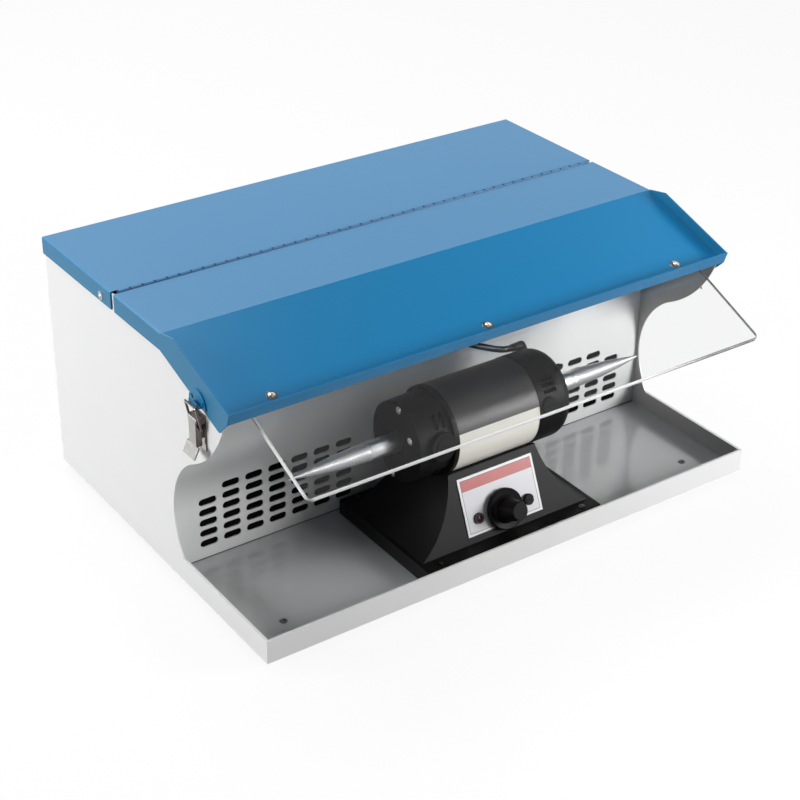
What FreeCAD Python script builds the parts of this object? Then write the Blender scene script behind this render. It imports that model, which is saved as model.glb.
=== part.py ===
import FreeCAD, Part
import math
import os
import re
import Sketcher

# Dental polishing lathe in a sheet-metal dust cabinet.
# Lengths are millimetres and angles are degrees. Every piece is drawn from the tray's front bottom edge,
# with X along the spindles, Y to the rear and Z up, and then set so that the origin is under the middle.

SIZES = {
    # Cabinet of folded sheet
    "cabinet_width": 530.0,
    "cabinet_depth": 380.0,
    "cabinet_height": 237.0,
    "sheet": 1.2,
    "fit_gap": 0.3,
    "overrun": 3.0,
    "flange_width": 12.0,
    "tray_wall_height": 22.6,
    "tray_wall_depth": 137.0,
    "hem_height": 6.0,
    "cutout_top_y": 55.0,
    "cutout_bulge_radius": 120.0,
    "cutout_bay_radius": 75.5,
    "cusp_y": 116.0,
    "cusp_z": 131.0,
    # Lid, its fold and its lips
    "fold_y": 155.0,
    "slope_tilt": 18.35,
    "slope_length": 111.15,
    "flange_drop": 17.0,
    "lip_height": 10.6,
    "bend_radius": 0.6,
    "wing_run": 19.0,
    "flange_setback": 8.0,
    # Piano hinge
    "hinge_y": 242.5,
    "lid_gap": 6.0,
    "hinge_inset": 4.0,
    "hinge_sink": 0.7,
    "knuckle_radius": 2.1,
    "hinge_pin_radius": 1.0,
    "running_gap": 0.05,
    "leaf_width": 16.0,
    "leaf_thickness": 0.8,
    # Slots of the baffle
    "slot_length": 18.0,
    "slot_height": 7.0,
    "slot_pitch_x": 23.62,
    "slot_pitch_z": 10.7,
    "slot_last_x": 230.4,
    "slot_first_z": 18.3,
    # Feet
    "foot_height": 8.0,
    "foot_radius": 9.0,
    "foot_x": 225.5,
    "foot_y": 38.8,
    "foot_recess_radius": 5.0,
    # Screws
    "screw_radius": 2.0,
    "screw_slack": 0.2,
    "head_radius": 4.2,
    "head_height": 2.4,
    "head_dome_share": 1.15,
    "foot_head_radius": 3.1,
    "pedestal_head_radius": 3.2,
    "shield_head_radius": 4.9,
    "recess_width": 0.9,
    "recess_length": 4.4,
    "recess_depth": 1.2,
    "foot_screw_length": 7.0,
    "lid_screw_length": 8.0,
    "lid_screw_y": 264.0,
    "lid_screw_z": 226.0,
    "nut_radius": 3.9,
    "nut_height": 3.2,
    # Clear shield
    "shield_half_width": 241.0,
    "shield_length": 117.0,
    "shield_thickness": 3.0,
    "shield_start": 80.0,
    "shield_extra_tilt": 5.25,
    "shield_touch": 0.15,
    "shield_corner_radius": 7.0,
    "shield_screw_x": 217.0,
    "shield_screw_run": 96.8,
    "shield_hole_radius": 2.6,
    "shield_screw_length": 10.5,
    "washer_radius": 5.5,
    "washer_thickness": 3.5,
    # Draw latches
    "latch_y": 95.0,
    "latch_z": 187.5,
    "latch_plate": 1.2,
    "latch_plate_half_width": 9.0,
    "latch_plate_above": 5.0,
    "latch_plate_below": 28.0,
    "latch_pivot_out": 5.0,
    "latch_barrel_radius": 3.2,
    "latch_pin_radius": 1.5,
    "ear_thickness": 1.0,
    "lever_half_width": 5.6,
    "lever_length": 24.0,
    "lever_sheet": 1.0,
    "cheek_depth": 4.6,
    "finger_half_width": 9.5,
    "finger_drop": 9.0,
    "finger_flare": 4.6,
    "rivet_radius": 2.0,
    "rivet_height": 0.8,
    "bail_wire_radius": 1.1,
    "bail_half_width": 8.5,
    "bail_height": 22.0,
    "bail_tilt": 12.0,
    "bail_pivot_out": 4.2,
    "bail_pivot_drop": 8.0,
    "hook_half_width": 6.5,
    "hook_plate_radius": 13.5,
    "hook_plate_skirt": 1.5,
    "hook_bottom_rise": 11.0,
    "hook_rivet_y": 9.0,
    "hook_rivet_z": 5.0,
    "hook_reach": 5.3,
    "hook_lip_height": 5.0,
    # Motor pedestal
    "pedestal_y": 80.0,
    "base_half_width": 97.0,
    "base_half_depth": 69.5,
    "base_top": 17.0,
    "pedestal_wall": 3.0,
    "flare_bottom_half": 92.9,
    "flare_top_half": 48.5,
    "flare_radius": 88.0,
    "pedestal_top": 78.0,
    "face_bottom_y": 24.0,
    "face_top_y": 50.0,
    "cradle_gap": 0.2,
    "pedestal_screw_x": 79.8,
    "pedestal_screw_y": 16.0,
    "boss_radius": 4.5,
    "pedestal_screw_length": 19.5,
    "bottom_plate": 1.2,
    # Speed control in the pedestal's front face
    "plate_half_width": 41.5,
    "plate_low": 6.5,
    "plate_high": 59.8,
    "plate_thickness": 1.0,
    "control_row": 20.6,
    "control_side_x": 27.5,
    "lamp_radius": 5.0,
    "lamp_lens_radius": 3.0,
    "lamp_bezel_height": 1.6,
    "lamp_barrel_radius": 3.9,
    "lamp_barrel_length": 14.0,
    "fuse_cap_radius": 5.2,
    "fuse_cap_height": 3.6,
    "fuse_barrel_radius": 4.6,
    "fuse_barrel_length": 24.0,
    "coin_slot_width": 1.2,
    "pot_radius": 12.0,
    "pot_depth": 10.0,
    "pot_bush_radius": 3.9,
    "pot_bush_length": 3.4,
    "pot_nut_radius": 6.0,
    "pot_nut_height": 2.0,
    "pot_shaft_radius": 3.0,
    "pot_shaft_depth": 7.0,
    "pot_shaft_length": 17.0,
    "knob_skirt_radius": 19.0,
    "knob_rise": 2.4,
    "knob_skirt_height": 3.2,
    "knob_rim_share": 0.7,
    "knob_edge_share": 0.93,
    "knob_dish_radius": 13.0,
    "knob_dish_rise": 0.8,
    "knob_grip_root_radius": 11.5,
    "knob_grip_radius": 8.3,
    "knob_height": 24.0,
    "knob_recess_radius": 7.0,
    "knob_recess_depth": 2.2,
    "board_half_width": 35.0,
    "board_depth": 50.0,
    "board_thickness": 1.6,
    "board_rise": 6.0,
    "board_part_size": 12.0,
    "board_spread": 19.0,
    "board_part_height": 9.6,
    # Motor
    "motor_z": 109.0,
    "shell_radius": 40.3,
    "shell_wall": 2.5,
    "shell_half_length": 44.5,
    "wrap_thickness": 0.3,
    "bell_radius": 41.0,
    "bell_inner_radius": 34.0,
    "bell_wall": 3.0,
    "left_ring_width": 4.5,
    "left_cap_radius": 37.5,
    "left_cap_end_radius": 36.5,
    "left_end_x": 83.5,
    "left_corner": 1.5,
    "right_shoulder_x": 70.0,
    "right_shoulder_end_x": 80.0,
    "right_shoulder_radius": 37.5,
    "right_shoulder_arc": 16.0,
    "right_end_x": 82.0,
    "right_face_radius": 35.0,
    "spindle_hole_radius": 9.5,
    "vent_width": 3.6,
    "left_vent_x": 55.0,
    "left_vent_pitch": 7.0,
    "right_vent_x": 52.0,
    "right_vent_length": 14.0,
    "left_screw_out": 32.9,
    "left_screw_side": 3.6,
    "right_screw_out": 31.3,
    "right_screw_side": 3.0,
    "bell_screw_low": 10.6,
    "bell_screw_wide": 21.5,
    "bell_screw_length": 9.0,
    "bell_screw_head_radius": 3.4,
    "bell_boss_radius": 3.2,
    "left_brush_x": 61.0,
    "right_brush_x": 55.0,
    "brush_pad_radius": 12.4,
    "brush_cap_radius": 7.5,
    "brush_cap_seat": 36.0,
    "brush_cap_top": 42.2,
    "brush_tube_radius": 6.5,
    "brush_tube_start": 18.0,
    "brush_size": 5.4,
    "brush_bore_radius": 3.9,
    "brush_end": 26.0,
    "brush_spring_radius": 2.6,
    "brush_spring_wire": 0.8,
    "lug_x": 76.3,
    "lug_radius": 3.0,
    "lug_top": 44.0,
    # Stator and rotor
    "stator_half_length": 30.0,
    "stator_inner_radius": 34.5,
    "pole_radius": 24.8,
    "pole_half_width": 10.0,
    "coil_width": 5.0,
    "coil_end": 7.0,
    "coil_low": 26.3,
    "coil_thickness": 4.0,
    "bearing_radius": 11.0,
    "bearing_width": 7.0,
    "bearing_outer_bore": 8.9,
    "bearing_inner_rim": 6.1,
    "ball_radius": 1.35,
    "boss_wall": 3.0,
    "shaft_radius": 4.0,
    "shaft_core_radius": 6.0,
    "shaft_tail": 18.0,
    "core_radius": 24.0,
    "core_half_length": 22.0,
    "core_slot_width": 3.0,
    "core_slot_depth": 9.0,
    "winding_inner_radius": 8.0,
    "winding_radius": 21.0,
    "winding_length": 12.0,
    "winding_corner": 4.0,
    "commutator_radius": 14.0,
    "commutator_start": 53.0,
    "commutator_length": 16.0,
    "commutator_slot": 0.6,
    "fan_start": 50.0,
    "fan_length": 11.0,
    "fan_radius": 30.0,
    "fan_hub_radius": 10.0,
    "fan_blade": 1.5,
    # Tapered spindles
    "spindle_radius": 8.8,
    "spindle_hub_radius": 7.5,
    "spindle_root_length": 33.2,
    "spindle_tip_x": 193.3,
    "spindle_tip_radius": 0.6,
    "spindle_step": 0.3,
    "spindle_taper_arc": 450.0,
    # Motor lead and its bushes
    "lead_radius": 3.0,
    "bush_wall": 2.0,
    "bush_rim": 4.0,
    "boot_radius": 4.2,
    "boot_mouth_radius": 3.6,
    "boot_length": 14.0,
    "boot_stem": 12.5,
    "bush_rim_height": 2.0,
    # Filter and suction fan behind the baffle
    "filter_half_width": 248.0,
    "filter_depth": 12.0,
    "filter_height": 110.0,
    "suction_x": -110.0,
    "suction_z": 118.0,
    "suction_half_frame": 60.0,
    "suction_depth": 38.0,
    "suction_bore_radius": 57.5,
    "suction_hole_offset": 52.5,
    "suction_hub_radius": 20.0,
    "suction_hub_plate": 5.0,
    "suction_strut": 4.0,
    "suction_shaft_radius": 1.5,
    "suction_blade_radius": 55.5,
    "suction_blade_chord": 24.0,
    "suction_blade": 1.5,
    "suction_blade_pitch": 35.0,
    "suction_face_gap": 2.0,
    "guard_wire_radius": 1.1,
    "guard_ring_step": 14.0,
    # Mains inlet with its switch
    "inlet_x": 170.0,
    "inlet_z": 58.0,
    "inlet_half_width": 32.0,
    "inlet_half_height": 15.5,
    "inlet_flange": 2.5,
    "inlet_body_half_width": 26.0,
    "inlet_body_half_height": 13.0,
    "inlet_body_depth": 26.0,
    "socket_offset": 11.0,
    "socket_half_width": 12.0,
    "socket_half_height": 8.2,
    "socket_depth": 17.0,
    "inlet_pin_width": 2.0,
    "inlet_pin_height": 4.0,
    "inlet_pin_pitch": 7.0,
    "inlet_pin_length": 13.0,
    "bay_offset": 13.5,
    "bay_half_width": 6.8,
    "bay_half_height": 10.6,
    "bay_depth": 10.0,
    "rocker_side_gap": 0.3,
    "rocker_half_height": 9.8,
    "rocker_crown": 2.2,
    "rocker_dip": 0.6,
    "rocker_keel": 4.0,
    "rocker_keel_half": 5.5,
    "rocker_pivot_depth": 2.0,
    "rocker_pin_radius": 1.2,
    "rocker_pin_length": 1.5,
    "rocker_tilt": 8.0,
}

# Lengths that follow from the sizes above
DERIVED = {
    "side_outer": "cabinet_width / 2",
    "side_inner": "cabinet_width / 2 - sheet",
    "lid_half": "cabinet_width / 2 + fit_gap + sheet",
    "lid_underside": "cabinet_height - sheet",
    "wall_top": "cabinet_height - sheet - fit_gap",
    "floor_top": "2 * sheet",
    "lid_edge_front": "hinge_y - lid_gap / 2",
    "lid_edge_rear": "hinge_y + lid_gap / 2",
    "lid_rear": "cabinet_depth + fit_gap + sheet",
    "hinge_z": "cabinet_height - hinge_sink",
    "hinge_length": "cabinet_width - 2 * hinge_inset",
    "mitre": "flange_drop * tan(slope_tilt / 2)",
    "hole_radius": "screw_radius + screw_slack",
    "face_rise": "pedestal_top - base_top",
    "face_run": "face_top_y - face_bottom_y",
    "face_angle": "atan(face_rise / face_run)",
    "face_wall": "pedestal_wall / sin(face_angle)",
    "knob_seat": "plate_thickness + knob_rise",
    "left_bearing_x": "left_end_x - bell_wall - bearing_width",
    "right_bearing_x": "right_end_x - bell_wall - bearing_width",
    "rear_inside": "cabinet_depth - sheet",
    "inlet_face": "cabinet_depth + inlet_flange",
    "guard_rear": "cabinet_depth + 4 * guard_wire_radius - running_gap",
    "shield_run": "shield_start + shield_length * cos(shield_extra_tilt)",
    "shield_sink": "sheet + shield_touch + shield_length * sin(shield_extra_tilt)",
    "shield_front": "fold_y - shield_run * cos(slope_tilt) + shield_sink * sin(slope_tilt)",
    "part_middle": "(shield_front + guard_rear) / 2",
}

KNUCKLES = 44
VENT_ANGLES = (32.5, 40.5, 48.0)
VENT_HALF_ANGLE = 2.6
LEFT_VENT_ANGLES = (32.0, 54.0)
WRAP_ANGLES = (17.5, 162.5)
LEFT_BRUSH_ANGLE = 10.0
RIGHT_BRUSH_ANGLE = 14.0
LUG_ANGLE = 56.0
CORE_SLOTS = 12
FAN_BLADES = 9
SUCTION_BLADES = 7
BEARING_BALLS = 7
RIVET_SHARES = (0.45, 0.85)

document = FreeCAD.newDocument("dental_polishing_lathe")
sheet = document.addObject("Spreadsheet::Sheet", "Sizes")
for row, (alias, value) in enumerate(SIZES.items(), 1):
    sheet.set(f"A{row}", alias)
    sheet.set(f"B{row}", str(value))
    sheet.setAlias(f"B{row}", alias)
document.recompute()

SUBPARTS = []
SET_DOWN = set()
X_AXIS = FreeCAD.Vector(1, 0, 0)
Y_AXIS = FreeCAD.Vector(0, 1, 0)
Z_AXIS = FreeCAD.Vector(0, 0, 1)
AXES = {"x": X_AXIS, "y": Y_AXIS, "z": Z_AXIS}


def bound(text):
    """An expression with each named size pointed at its cell."""

    def cell(match):
        word = match.group(0)
        if word in DERIVED:
            return "(" + bound(DERIVED[word]) + ")"
        return "Sizes." + word if word in SIZES else word

    return re.sub(r"[a-z][a-z_0-9]*", cell, text)


def worth(text):
    """The number that an expression gives now."""
    found = sheet.evalExpression(bound(text))
    return float(getattr(found, "Value", found))


def drive(item, **links):
    """Bind properties of an item to expressions."""
    for name, text in links.items():
        item.setExpression(name, bound(text))


def stand(item, x="0", y="0", z="0", turn=None, about="x"):
    """Place an item, turned about one axis."""
    SET_DOWN.add(item.Name)
    if turn is not None:
        item.Placement = FreeCAD.Placement(FreeCAD.Vector(), FreeCAD.Rotation(AXES[about], 1))
        item.setExpression("Placement.Rotation.Angle", bound(turn))
    for way, text in (("x", x), ("y", y), ("z", z)):
        if text != "0":
            item.setExpression(f"Placement.Base.{way}", bound(text))
    return item


def grouped(*pieces):
    """Several solids kept side by side as one item."""
    group = document.addObject("Part::Compound", "Group")
    group.Links = list(pieces)
    return group


def placed(piece, x="0", y="0", z="0", turn=None, about="x"):
    """A finished item carried to another place."""
    return stand(grouped(piece), x, y, z, turn, about)


def aimed(piece, x, y, z, way):
    """An item built along X, carried to a place and aimed along a direction."""
    holder = grouped(piece)
    SET_DOWN.add(holder.Name)
    turn = FreeCAD.Rotation(X_AXIS, FreeCAD.Vector(*way))
    holder.Placement = FreeCAD.Placement(FreeCAD.Vector(), turn)
    for name, text in (("x", x), ("y", y), ("z", z)):
        holder.setExpression(f"Placement.Base.{name}", bound(text))
    return holder


def box(x, y, z, wide, deep, tall):
    """A block from its low corner."""
    block = document.addObject("Part::Box", "Block")
    drive(block, Length=wide, Width=deep, Height=tall)
    return stand(block, x, y, z)


def slab(half, y, z, deep, tall):
    """A block centred on the middle plane."""
    return box(f"-({half})", y, z, f"2 * ({half})", deep, tall)


def along(item, way, x, y, z):
    """Aim an item built along Z down one of the axes, or another way, from a point."""
    SET_DOWN.add(item.Name)
    goal = AXES[way] if way in AXES else FreeCAD.Vector(*way)
    item.Placement = FreeCAD.Placement(FreeCAD.Vector(), FreeCAD.Rotation(Z_AXIS, goal))
    for name, text in (("x", x), ("y", y), ("z", z)):
        item.setExpression(f"Placement.Base.{name}", bound(text))
    return item


def rod(way, x, y, z, radius, length):
    """A cylinder from a point."""
    bar = document.addObject("Part::Cylinder", "Rod")
    drive(bar, Radius=radius, Height=length)
    return along(bar, way, x, y, z)


def pipe(way, x, y, z, radius, bore, length):
    """A cylinder with a bore through it."""
    return cut(rod(way, x, y, z, radius, length), rod(way, x, y, z, bore, length))


def ball(x, y, z, radius):
    """A sphere about a point."""
    sphere = document.addObject("Part::Sphere", "Ball")
    drive(sphere, Radius=radius)
    return stand(sphere, x, y, z)


def ring(way, x, y, z, radius, wire):
    """A round wire ring about a point."""
    hoop = document.addObject("Part::Torus", "Ring")
    drive(hoop, Radius1=radius, Radius2=wire)
    return along(hoop, way, x, y, z)


def joined(*pieces):
    """Pieces that are one solid."""
    if len(pieces) == 1:
        return pieces[0]
    union = document.addObject("Part::MultiFuse", "Union")
    union.Shapes = list(pieces)
    return union


def cut(piece, *tools):
    """A piece with material taken away."""
    result = document.addObject("Part::Cut", "Cut")
    result.Base = piece
    result.Tool = joined(*tools)
    return result


def common(first, second):
    """The space that two items share."""
    result = document.addObject("Part::Common", "Shared")
    result.Base = first
    result.Tool = second
    return result


def origin_part(body, role):
    """A plane or an axis of a body's own origin."""
    return next(item for item in body.Origin.OriginFeatures if item.Role == role)


def near_end(edge, point):
    """1 or 2, for the end of an edge that lies at a point."""
    starts_here = (edge.StartPoint - point).Length < (edge.EndPoint - point).Length
    return 1 if starts_here else 2


def arc_through(start, end, radius):
    """The lesser arc between two points, its centre to the left for a positive radius."""
    if radius < 0:
        return arc_through(end, start, -radius)
    chord = end - start
    side = FreeCAD.Vector(-chord.y, chord.x, 0).normalize()
    reach = math.sqrt(radius**2 - chord.Length**2 / 4)
    middle = (start + end) * 0.5
    return Part.Arc(start, middle + side * (reach - radius), end)


def outline(body, plane, points, start="0"):
    """A closed sketch through points, each an x, a y and, before an arc, its radius."""
    sketch = body.newObject("Sketcher::SketchObject", "Outline")
    sketch.AttachmentSupport = (origin_part(body, plane), [""])
    sketch.MapMode = "FlatFace"
    if start != "0":
        sketch.setExpression("AttachmentOffset.Base.z", bound(start))
    corners = [FreeCAD.Vector(worth(point[0]), worth(point[1]), 0) for point in points]
    for index, point in enumerate(points):
        here = corners[index]
        there = corners[(index + 1) % len(points)]
        if len(point) == 3:
            sketch.addGeometry(arc_through(here, there, worth(point[2])))
        else:
            sketch.addGeometry(Part.LineSegment(here, there))
    for index, point in enumerate(points):
        following = (index + 1) % len(points)
        edge = sketch.Geometry[index]
        next_edge = sketch.Geometry[following]
        leaving = near_end(edge, corners[following])
        entering = near_end(next_edge, corners[following])
        sketch.addConstraint(Sketcher.Constraint("Coincident", index, leaving, following, entering))
        begin = near_end(edge, corners[index])
        for kind, text, value in (
            ("DistanceX", point[0], corners[index].x),
            ("DistanceY", point[1], corners[index].y),
        ):
            number = sketch.addConstraint(Sketcher.Constraint(kind, -1, 1, index, begin, value))
            sketch.setExpression(f"Constraints[{number}]", bound(text))
        if len(point) == 3:
            size = worth(point[2])
            number = sketch.addConstraint(Sketcher.Constraint("Radius", index, abs(size)))
            text = point[2] if size > 0 else f"-({point[2]})"
            sketch.setExpression(f"Constraints[{number}]", bound(text))
    return sketch


def circle(body, plane, x, y, radius, start="0"):
    """A round sketch."""
    sketch = body.newObject("Sketcher::SketchObject", "Circle")
    sketch.AttachmentSupport = (origin_part(body, plane), [""])
    sketch.MapMode = "FlatFace"
    if start != "0":
        sketch.setExpression("AttachmentOffset.Base.z", bound(start))
    centre = FreeCAD.Vector(worth(x), worth(y), 0)
    sketch.addGeometry(Part.Circle(centre, Z_AXIS, worth(radius)))
    for kind, text, value in (("DistanceX", x, centre.x), ("DistanceY", y, centre.y)):
        number = sketch.addConstraint(Sketcher.Constraint(kind, -1, 1, 0, 3, value))
        sketch.setExpression(f"Constraints[{number}]", bound(text))
    number = sketch.addConstraint(Sketcher.Constraint("Radius", 0, worth(radius)))
    sketch.setExpression(f"Constraints[{number}]", bound(radius))
    return sketch


def pad(body, sketch, length):
    """Raise a sketch along its plane's normal."""
    feature = body.newObject("PartDesign::Pad", "Pad")
    feature.Profile = sketch
    drive(feature, Length=length)
    return feature


def extruded(plane, start, thickness, points):
    """A plate of an outline. Its plane is YZ, XY or XZ, and start is where it begins along the third axis."""
    body = document.addObject("PartDesign::Body", "Plate")
    offset = f"-({start}) - ({thickness})" if plane == "XZ_Plane" else start
    pad(body, outline(body, plane, points, offset), thickness)
    return body


def turned(points, axis="H_Axis"):
    """A solid of revolution about X, or about Z with V_Axis, from an outline in the XZ plane."""
    body = document.addObject("PartDesign::Body", "Turned")
    sketch = outline(body, "XZ_Plane", points)
    feature = body.newObject("PartDesign::Revolution", "Revolution")
    feature.Profile = sketch
    feature.ReferenceAxis = (sketch, [axis])
    feature.Angle = 360
    return body


def around(piece, count, axis="x"):
    """Copies of a piece evenly round an axis."""
    return [placed(piece, turn=str(360 / count * index), about=axis) for index in range(count)]


def ring_sector(x, wide, inner, outer, start_angle, end_angle):
    """A block of a ring about X. Angles start level at the front and rise over the top to the rear."""

    def corner(radius, angle):
        return f"-({radius}) * cos({angle})", f"({radius}) * sin({angle})"

    points = [
        corner(inner, start_angle),
        (*corner(outer, start_angle), f"-({outer})"),
        corner(outer, end_angle),
        (*corner(inner, end_angle), inner),
    ]
    return extruded("YZ_Plane", x, wide, points)


def pan_screw(length, head="head_radius"):
    """A pan-head screw along X, its head's seat at zero and its shank behind."""
    profile = [
        (f"-({length})", "0"),
        (f"-({length})", "screw_radius"),
        ("0", "screw_radius"),
        ("0", head),
        ("head_height / 3", head, f"({head}) * head_dome_share"),
        ("head_height", "0"),
    ]
    recess = [
        box("head_height - recess_depth", "-recess_width / 2", "-recess_length / 2",
            "recess_depth", "recess_width", "recess_length"),
        box("head_height - recess_depth", "-recess_length / 2", "-recess_width / 2",
            "recess_depth", "recess_length", "recess_width"),
    ]
    return cut(turned(profile), *recess)


def subpart(name, *pieces, x="0", y="0", z="0", turn=None, about="x"):
    """Name a sub-part and set it down over the origin."""
    whole = pieces[0]
    if len(pieces) > 1 or whole.Name in SET_DOWN:
        whole = grouped(*pieces)
    whole.Label = name
    stand(whole, x, f"({y}) - part_middle", f"({z}) + foot_height", turn, about)
    SUBPARTS.append(whole)
    return whole


def on_slope(name, *pieces):
    """A sub-part drawn from the fold of the lid, with Y up the slope and Z out of it."""
    return subpart(name, *pieces, y="fold_y", z="cabinet_height", turn="slope_tilt")


def on_face(name, *pieces):
    """A sub-part drawn on the pedestal's front face, with Y up the face and Z out of it."""
    return subpart(name, *pieces, y="face_bottom_y", z="base_top", turn="face_angle")


def on_motor(name, *pieces):
    """A sub-part drawn about the motor's axis."""
    return subpart(name, *pieces, y="pedestal_y", z="motor_z")


def slope_z(y, depth):
    """Height of the slope at a depth under its top face."""
    return f"cabinet_height - (fold_y - ({y})) * tan(slope_tilt) - ({depth}) / cos(slope_tilt)"


def face_y(z):
    """Where the pedestal's front face is at a height."""
    return f"face_bottom_y + (({z}) - base_top) * face_run / face_rise"


# Side panels, with the curved cut-out above the tray
def side_panel(name, left):
    points = [
        ("0", "0"),
        ("cabinet_depth", "0"),
        ("cabinet_depth", "wall_top"),
        ("fold_y + (sheet + fit_gap) * tan(slope_tilt / 2)", "wall_top"),
        ("cutout_top_y", slope_z("cutout_top_y", "sheet + fit_gap"), "cutout_bulge_radius"),
        ("cusp_y", "cusp_z", "-cutout_bay_radius"),
        ("tray_wall_depth", "tray_wall_height"),
        ("0", "tray_wall_height"),
    ]
    skin = extruded("YZ_Plane", "-side_outer" if left else "side_inner", "sheet", points)
    edge = "-side_inner" if left else "side_inner - flange_width"
    hem_edge = "-side_inner" if left else "side_inner - sheet"
    bottom_flange = box(edge, "sheet", "0", "flange_width", "cabinet_depth - 2 * sheet", "sheet")
    rear_flange = box(edge, "cabinet_depth - 2 * sheet", "floor_top",
                      "flange_width", "sheet", "wall_top - floor_top")
    hem = box(hem_edge, "2 * sheet", "tray_wall_height - hem_height",
              "sheet", "tray_wall_depth - 3 * sheet", "hem_height")
    screw_x = "-side_outer - overrun" if left else "side_inner - overrun"
    screw_hole = rod("x", screw_x, "lid_screw_y", "lid_screw_z", "hole_radius", "sheet + 2 * overrun")
    subpart(name, cut(joined(skin, bottom_flange, rear_flange, hem), screw_hole))


# Floor of the tray, folded up at the front
def floor_tray():
    plate = slab("side_inner", "sheet", "sheet", "cabinet_depth - 2 * sheet", "sheet")
    wall = slab("side_inner", "0", "0", "sheet", "tray_wall_height")
    hem = slab("side_inner", "sheet", "tray_wall_height - hem_height", "sheet", "hem_height")
    holes = []
    for side in ("", "-"):
        for y in ("foot_y", "cabinet_depth - foot_y"):
            holes.append(rod("z", f"{side}foot_x", y, "0", "hole_radius", "floor_top + overrun"))
        for y in ("pedestal_screw_y", "2 * pedestal_y - pedestal_screw_y"):
            holes.append(rod("z", f"{side}pedestal_screw_x", y, "0", "hole_radius", "floor_top + overrun"))
    subpart("floor_tray", cut(joined(plate, wall, hem), *holes))


# Rear wall, open for the fan and the mains inlet
def rear_wall():
    plate = slab("side_inner", "cabinet_depth - sheet", "0", "sheet", "wall_top")
    start = "rear_inside - overrun"
    through = "sheet + 2 * overrun"
    exhaust = rod("y", "suction_x", start, "suction_z", "suction_bore_radius", through)
    inlet = box("inlet_x - inlet_body_half_width", start, "inlet_z - inlet_body_half_height",
                "2 * inlet_body_half_width", through, "2 * inlet_body_half_height")
    subpart("rear_wall", cut(plate, exhaust, inlet))


# Baffle between the work space and the suction chamber, with its banks of slots
def slot_sketch(body, x, z):
    straight = "(slot_length - slot_height) / 2"
    points = [
        (f"{x} - {straight}", f"{z} - slot_height / 2"),
        (f"{x} + {straight}", f"{z} - slot_height / 2", "slot_height / 2 + running_gap / 10"),
        (f"{x} + {straight}", f"{z} + slot_height / 2"),
        (f"{x} - {straight}", f"{z} + slot_height / 2", "slot_height / 2 + running_gap / 10"),
    ]
    return outline(body, "XZ_Plane", points, "-fold_y")


def slot_bank(body, first_x, columns, rows):
    sketch = slot_sketch(body, first_x, "slot_first_z")
    pocket = body.newObject("PartDesign::Pocket", "Slot")
    pocket.Profile = sketch
    pocket.Type = 1
    pocket.Midplane = True
    bank = body.newObject("PartDesign::MultiTransform", "Slots")
    steps = []
    for axis, count, pitch in (("H_Axis", columns, "slot_pitch_x"), ("V_Axis", rows, "slot_pitch_z")):
        if count > 1:
            step = body.newObject("PartDesign::LinearPattern", "Row")
            step.Direction = (sketch, [axis])
            step.Occurrences = count
            drive(step, Length=f"{count - 1} * {pitch}")
            steps.append(step)
    mirror = body.newObject("PartDesign::Mirrored", "OtherSide")
    mirror.MirrorPlane = (origin_part(body, "YZ_Plane"), [""])
    bank.Originals = [pocket]
    bank.Transformations = [*steps, mirror]
    body.Tip = bank


def vented_baffle():
    body = document.addObject("PartDesign::Body", "Baffle")
    face = [
        ("-side_inner", "floor_top"),
        ("side_inner", "floor_top"),
        ("side_inner", "wall_top"),
        ("-side_inner", "wall_top"),
    ]
    pad(body, outline(body, "XZ_Plane", face, "-fold_y - sheet"), "sheet")
    slot_bank(body, "slot_last_x - 6 * slot_pitch_x", 6, 6)
    slot_bank(body, "slot_last_x", 1, 5)
    flanges = [
        box(x, "fold_y + sheet", "floor_top", "sheet", "flange_width - sheet", "wall_top - floor_top")
        for x in ("-side_inner", "side_inner - sheet")
    ]
    lead_x, _, lead_z = (str(value) for value in LEAD_POINTS[0])
    lead_hole = rod("y", lead_x, "fold_y - overrun", lead_z, "lead_radius + bush_wall",
                    "sheet + 2 * overrun")
    subpart("vented_baffle", cut(joined(body, *flanges), lead_hole))


def bent_across(start, length, inset, radius, foot):
    """A block under the lid's top, as wide as the lid less an inset, with its two upper edges rounded."""
    half = f"lid_half - {inset}"
    top = f"cabinet_height - {inset}"
    points = [
        (f"-({half})", foot),
        (f"-({half})", f"{top} - ({radius})", f"-({radius})"),
        (f"-({half}) + {radius}", top),
        (f"{half} - ({radius})", top, f"-({radius})"),
        (half, f"{top} - ({radius})"),
        (half, foot),
    ]
    return extruded("XZ_Plane", start, length, points)


# Rear half of the lid, with its flanges bent down from the top
def rear_lid():
    outer_bend = "sheet + bend_radius"
    foot = "cabinet_height - flange_drop"
    outer_side = [
        ("lid_edge_rear", foot),
        ("lid_edge_rear", "cabinet_height"),
        (f"lid_rear - ({outer_bend})", "cabinet_height", f"-({outer_bend})"),
        ("lid_rear", f"cabinet_height - ({outer_bend})"),
        ("lid_rear", foot),
    ]
    inner_side = [
        ("lid_edge_rear - overrun", f"{foot} - overrun"),
        ("lid_edge_rear - overrun", "lid_underside"),
        ("lid_rear - sheet - bend_radius", "lid_underside", "-bend_radius"),
        ("lid_rear - sheet", "lid_underside - bend_radius"),
        ("lid_rear - sheet", f"{foot} - overrun"),
    ]
    outside = common(bent_across("lid_edge_rear", "lid_rear - lid_edge_rear", "0", outer_bend, foot),
                     extruded("YZ_Plane", "-lid_half", "2 * lid_half", outer_side))
    inside = common(bent_across("lid_edge_rear - overrun", "lid_rear - lid_edge_rear + overrun", "sheet",
                                "bend_radius", f"{foot} - overrun"),
                    extruded("YZ_Plane", "-lid_half", "2 * lid_half", inner_side))
    holes = [
        rod("x", x, "lid_screw_y", "lid_screw_z", "hole_radius", "sheet + 2 * overrun")
        for x in ("-lid_half - overrun", "lid_half - sheet - overrun")
    ]
    subpart("rear_lid", cut(outside, inside, *holes))


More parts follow.
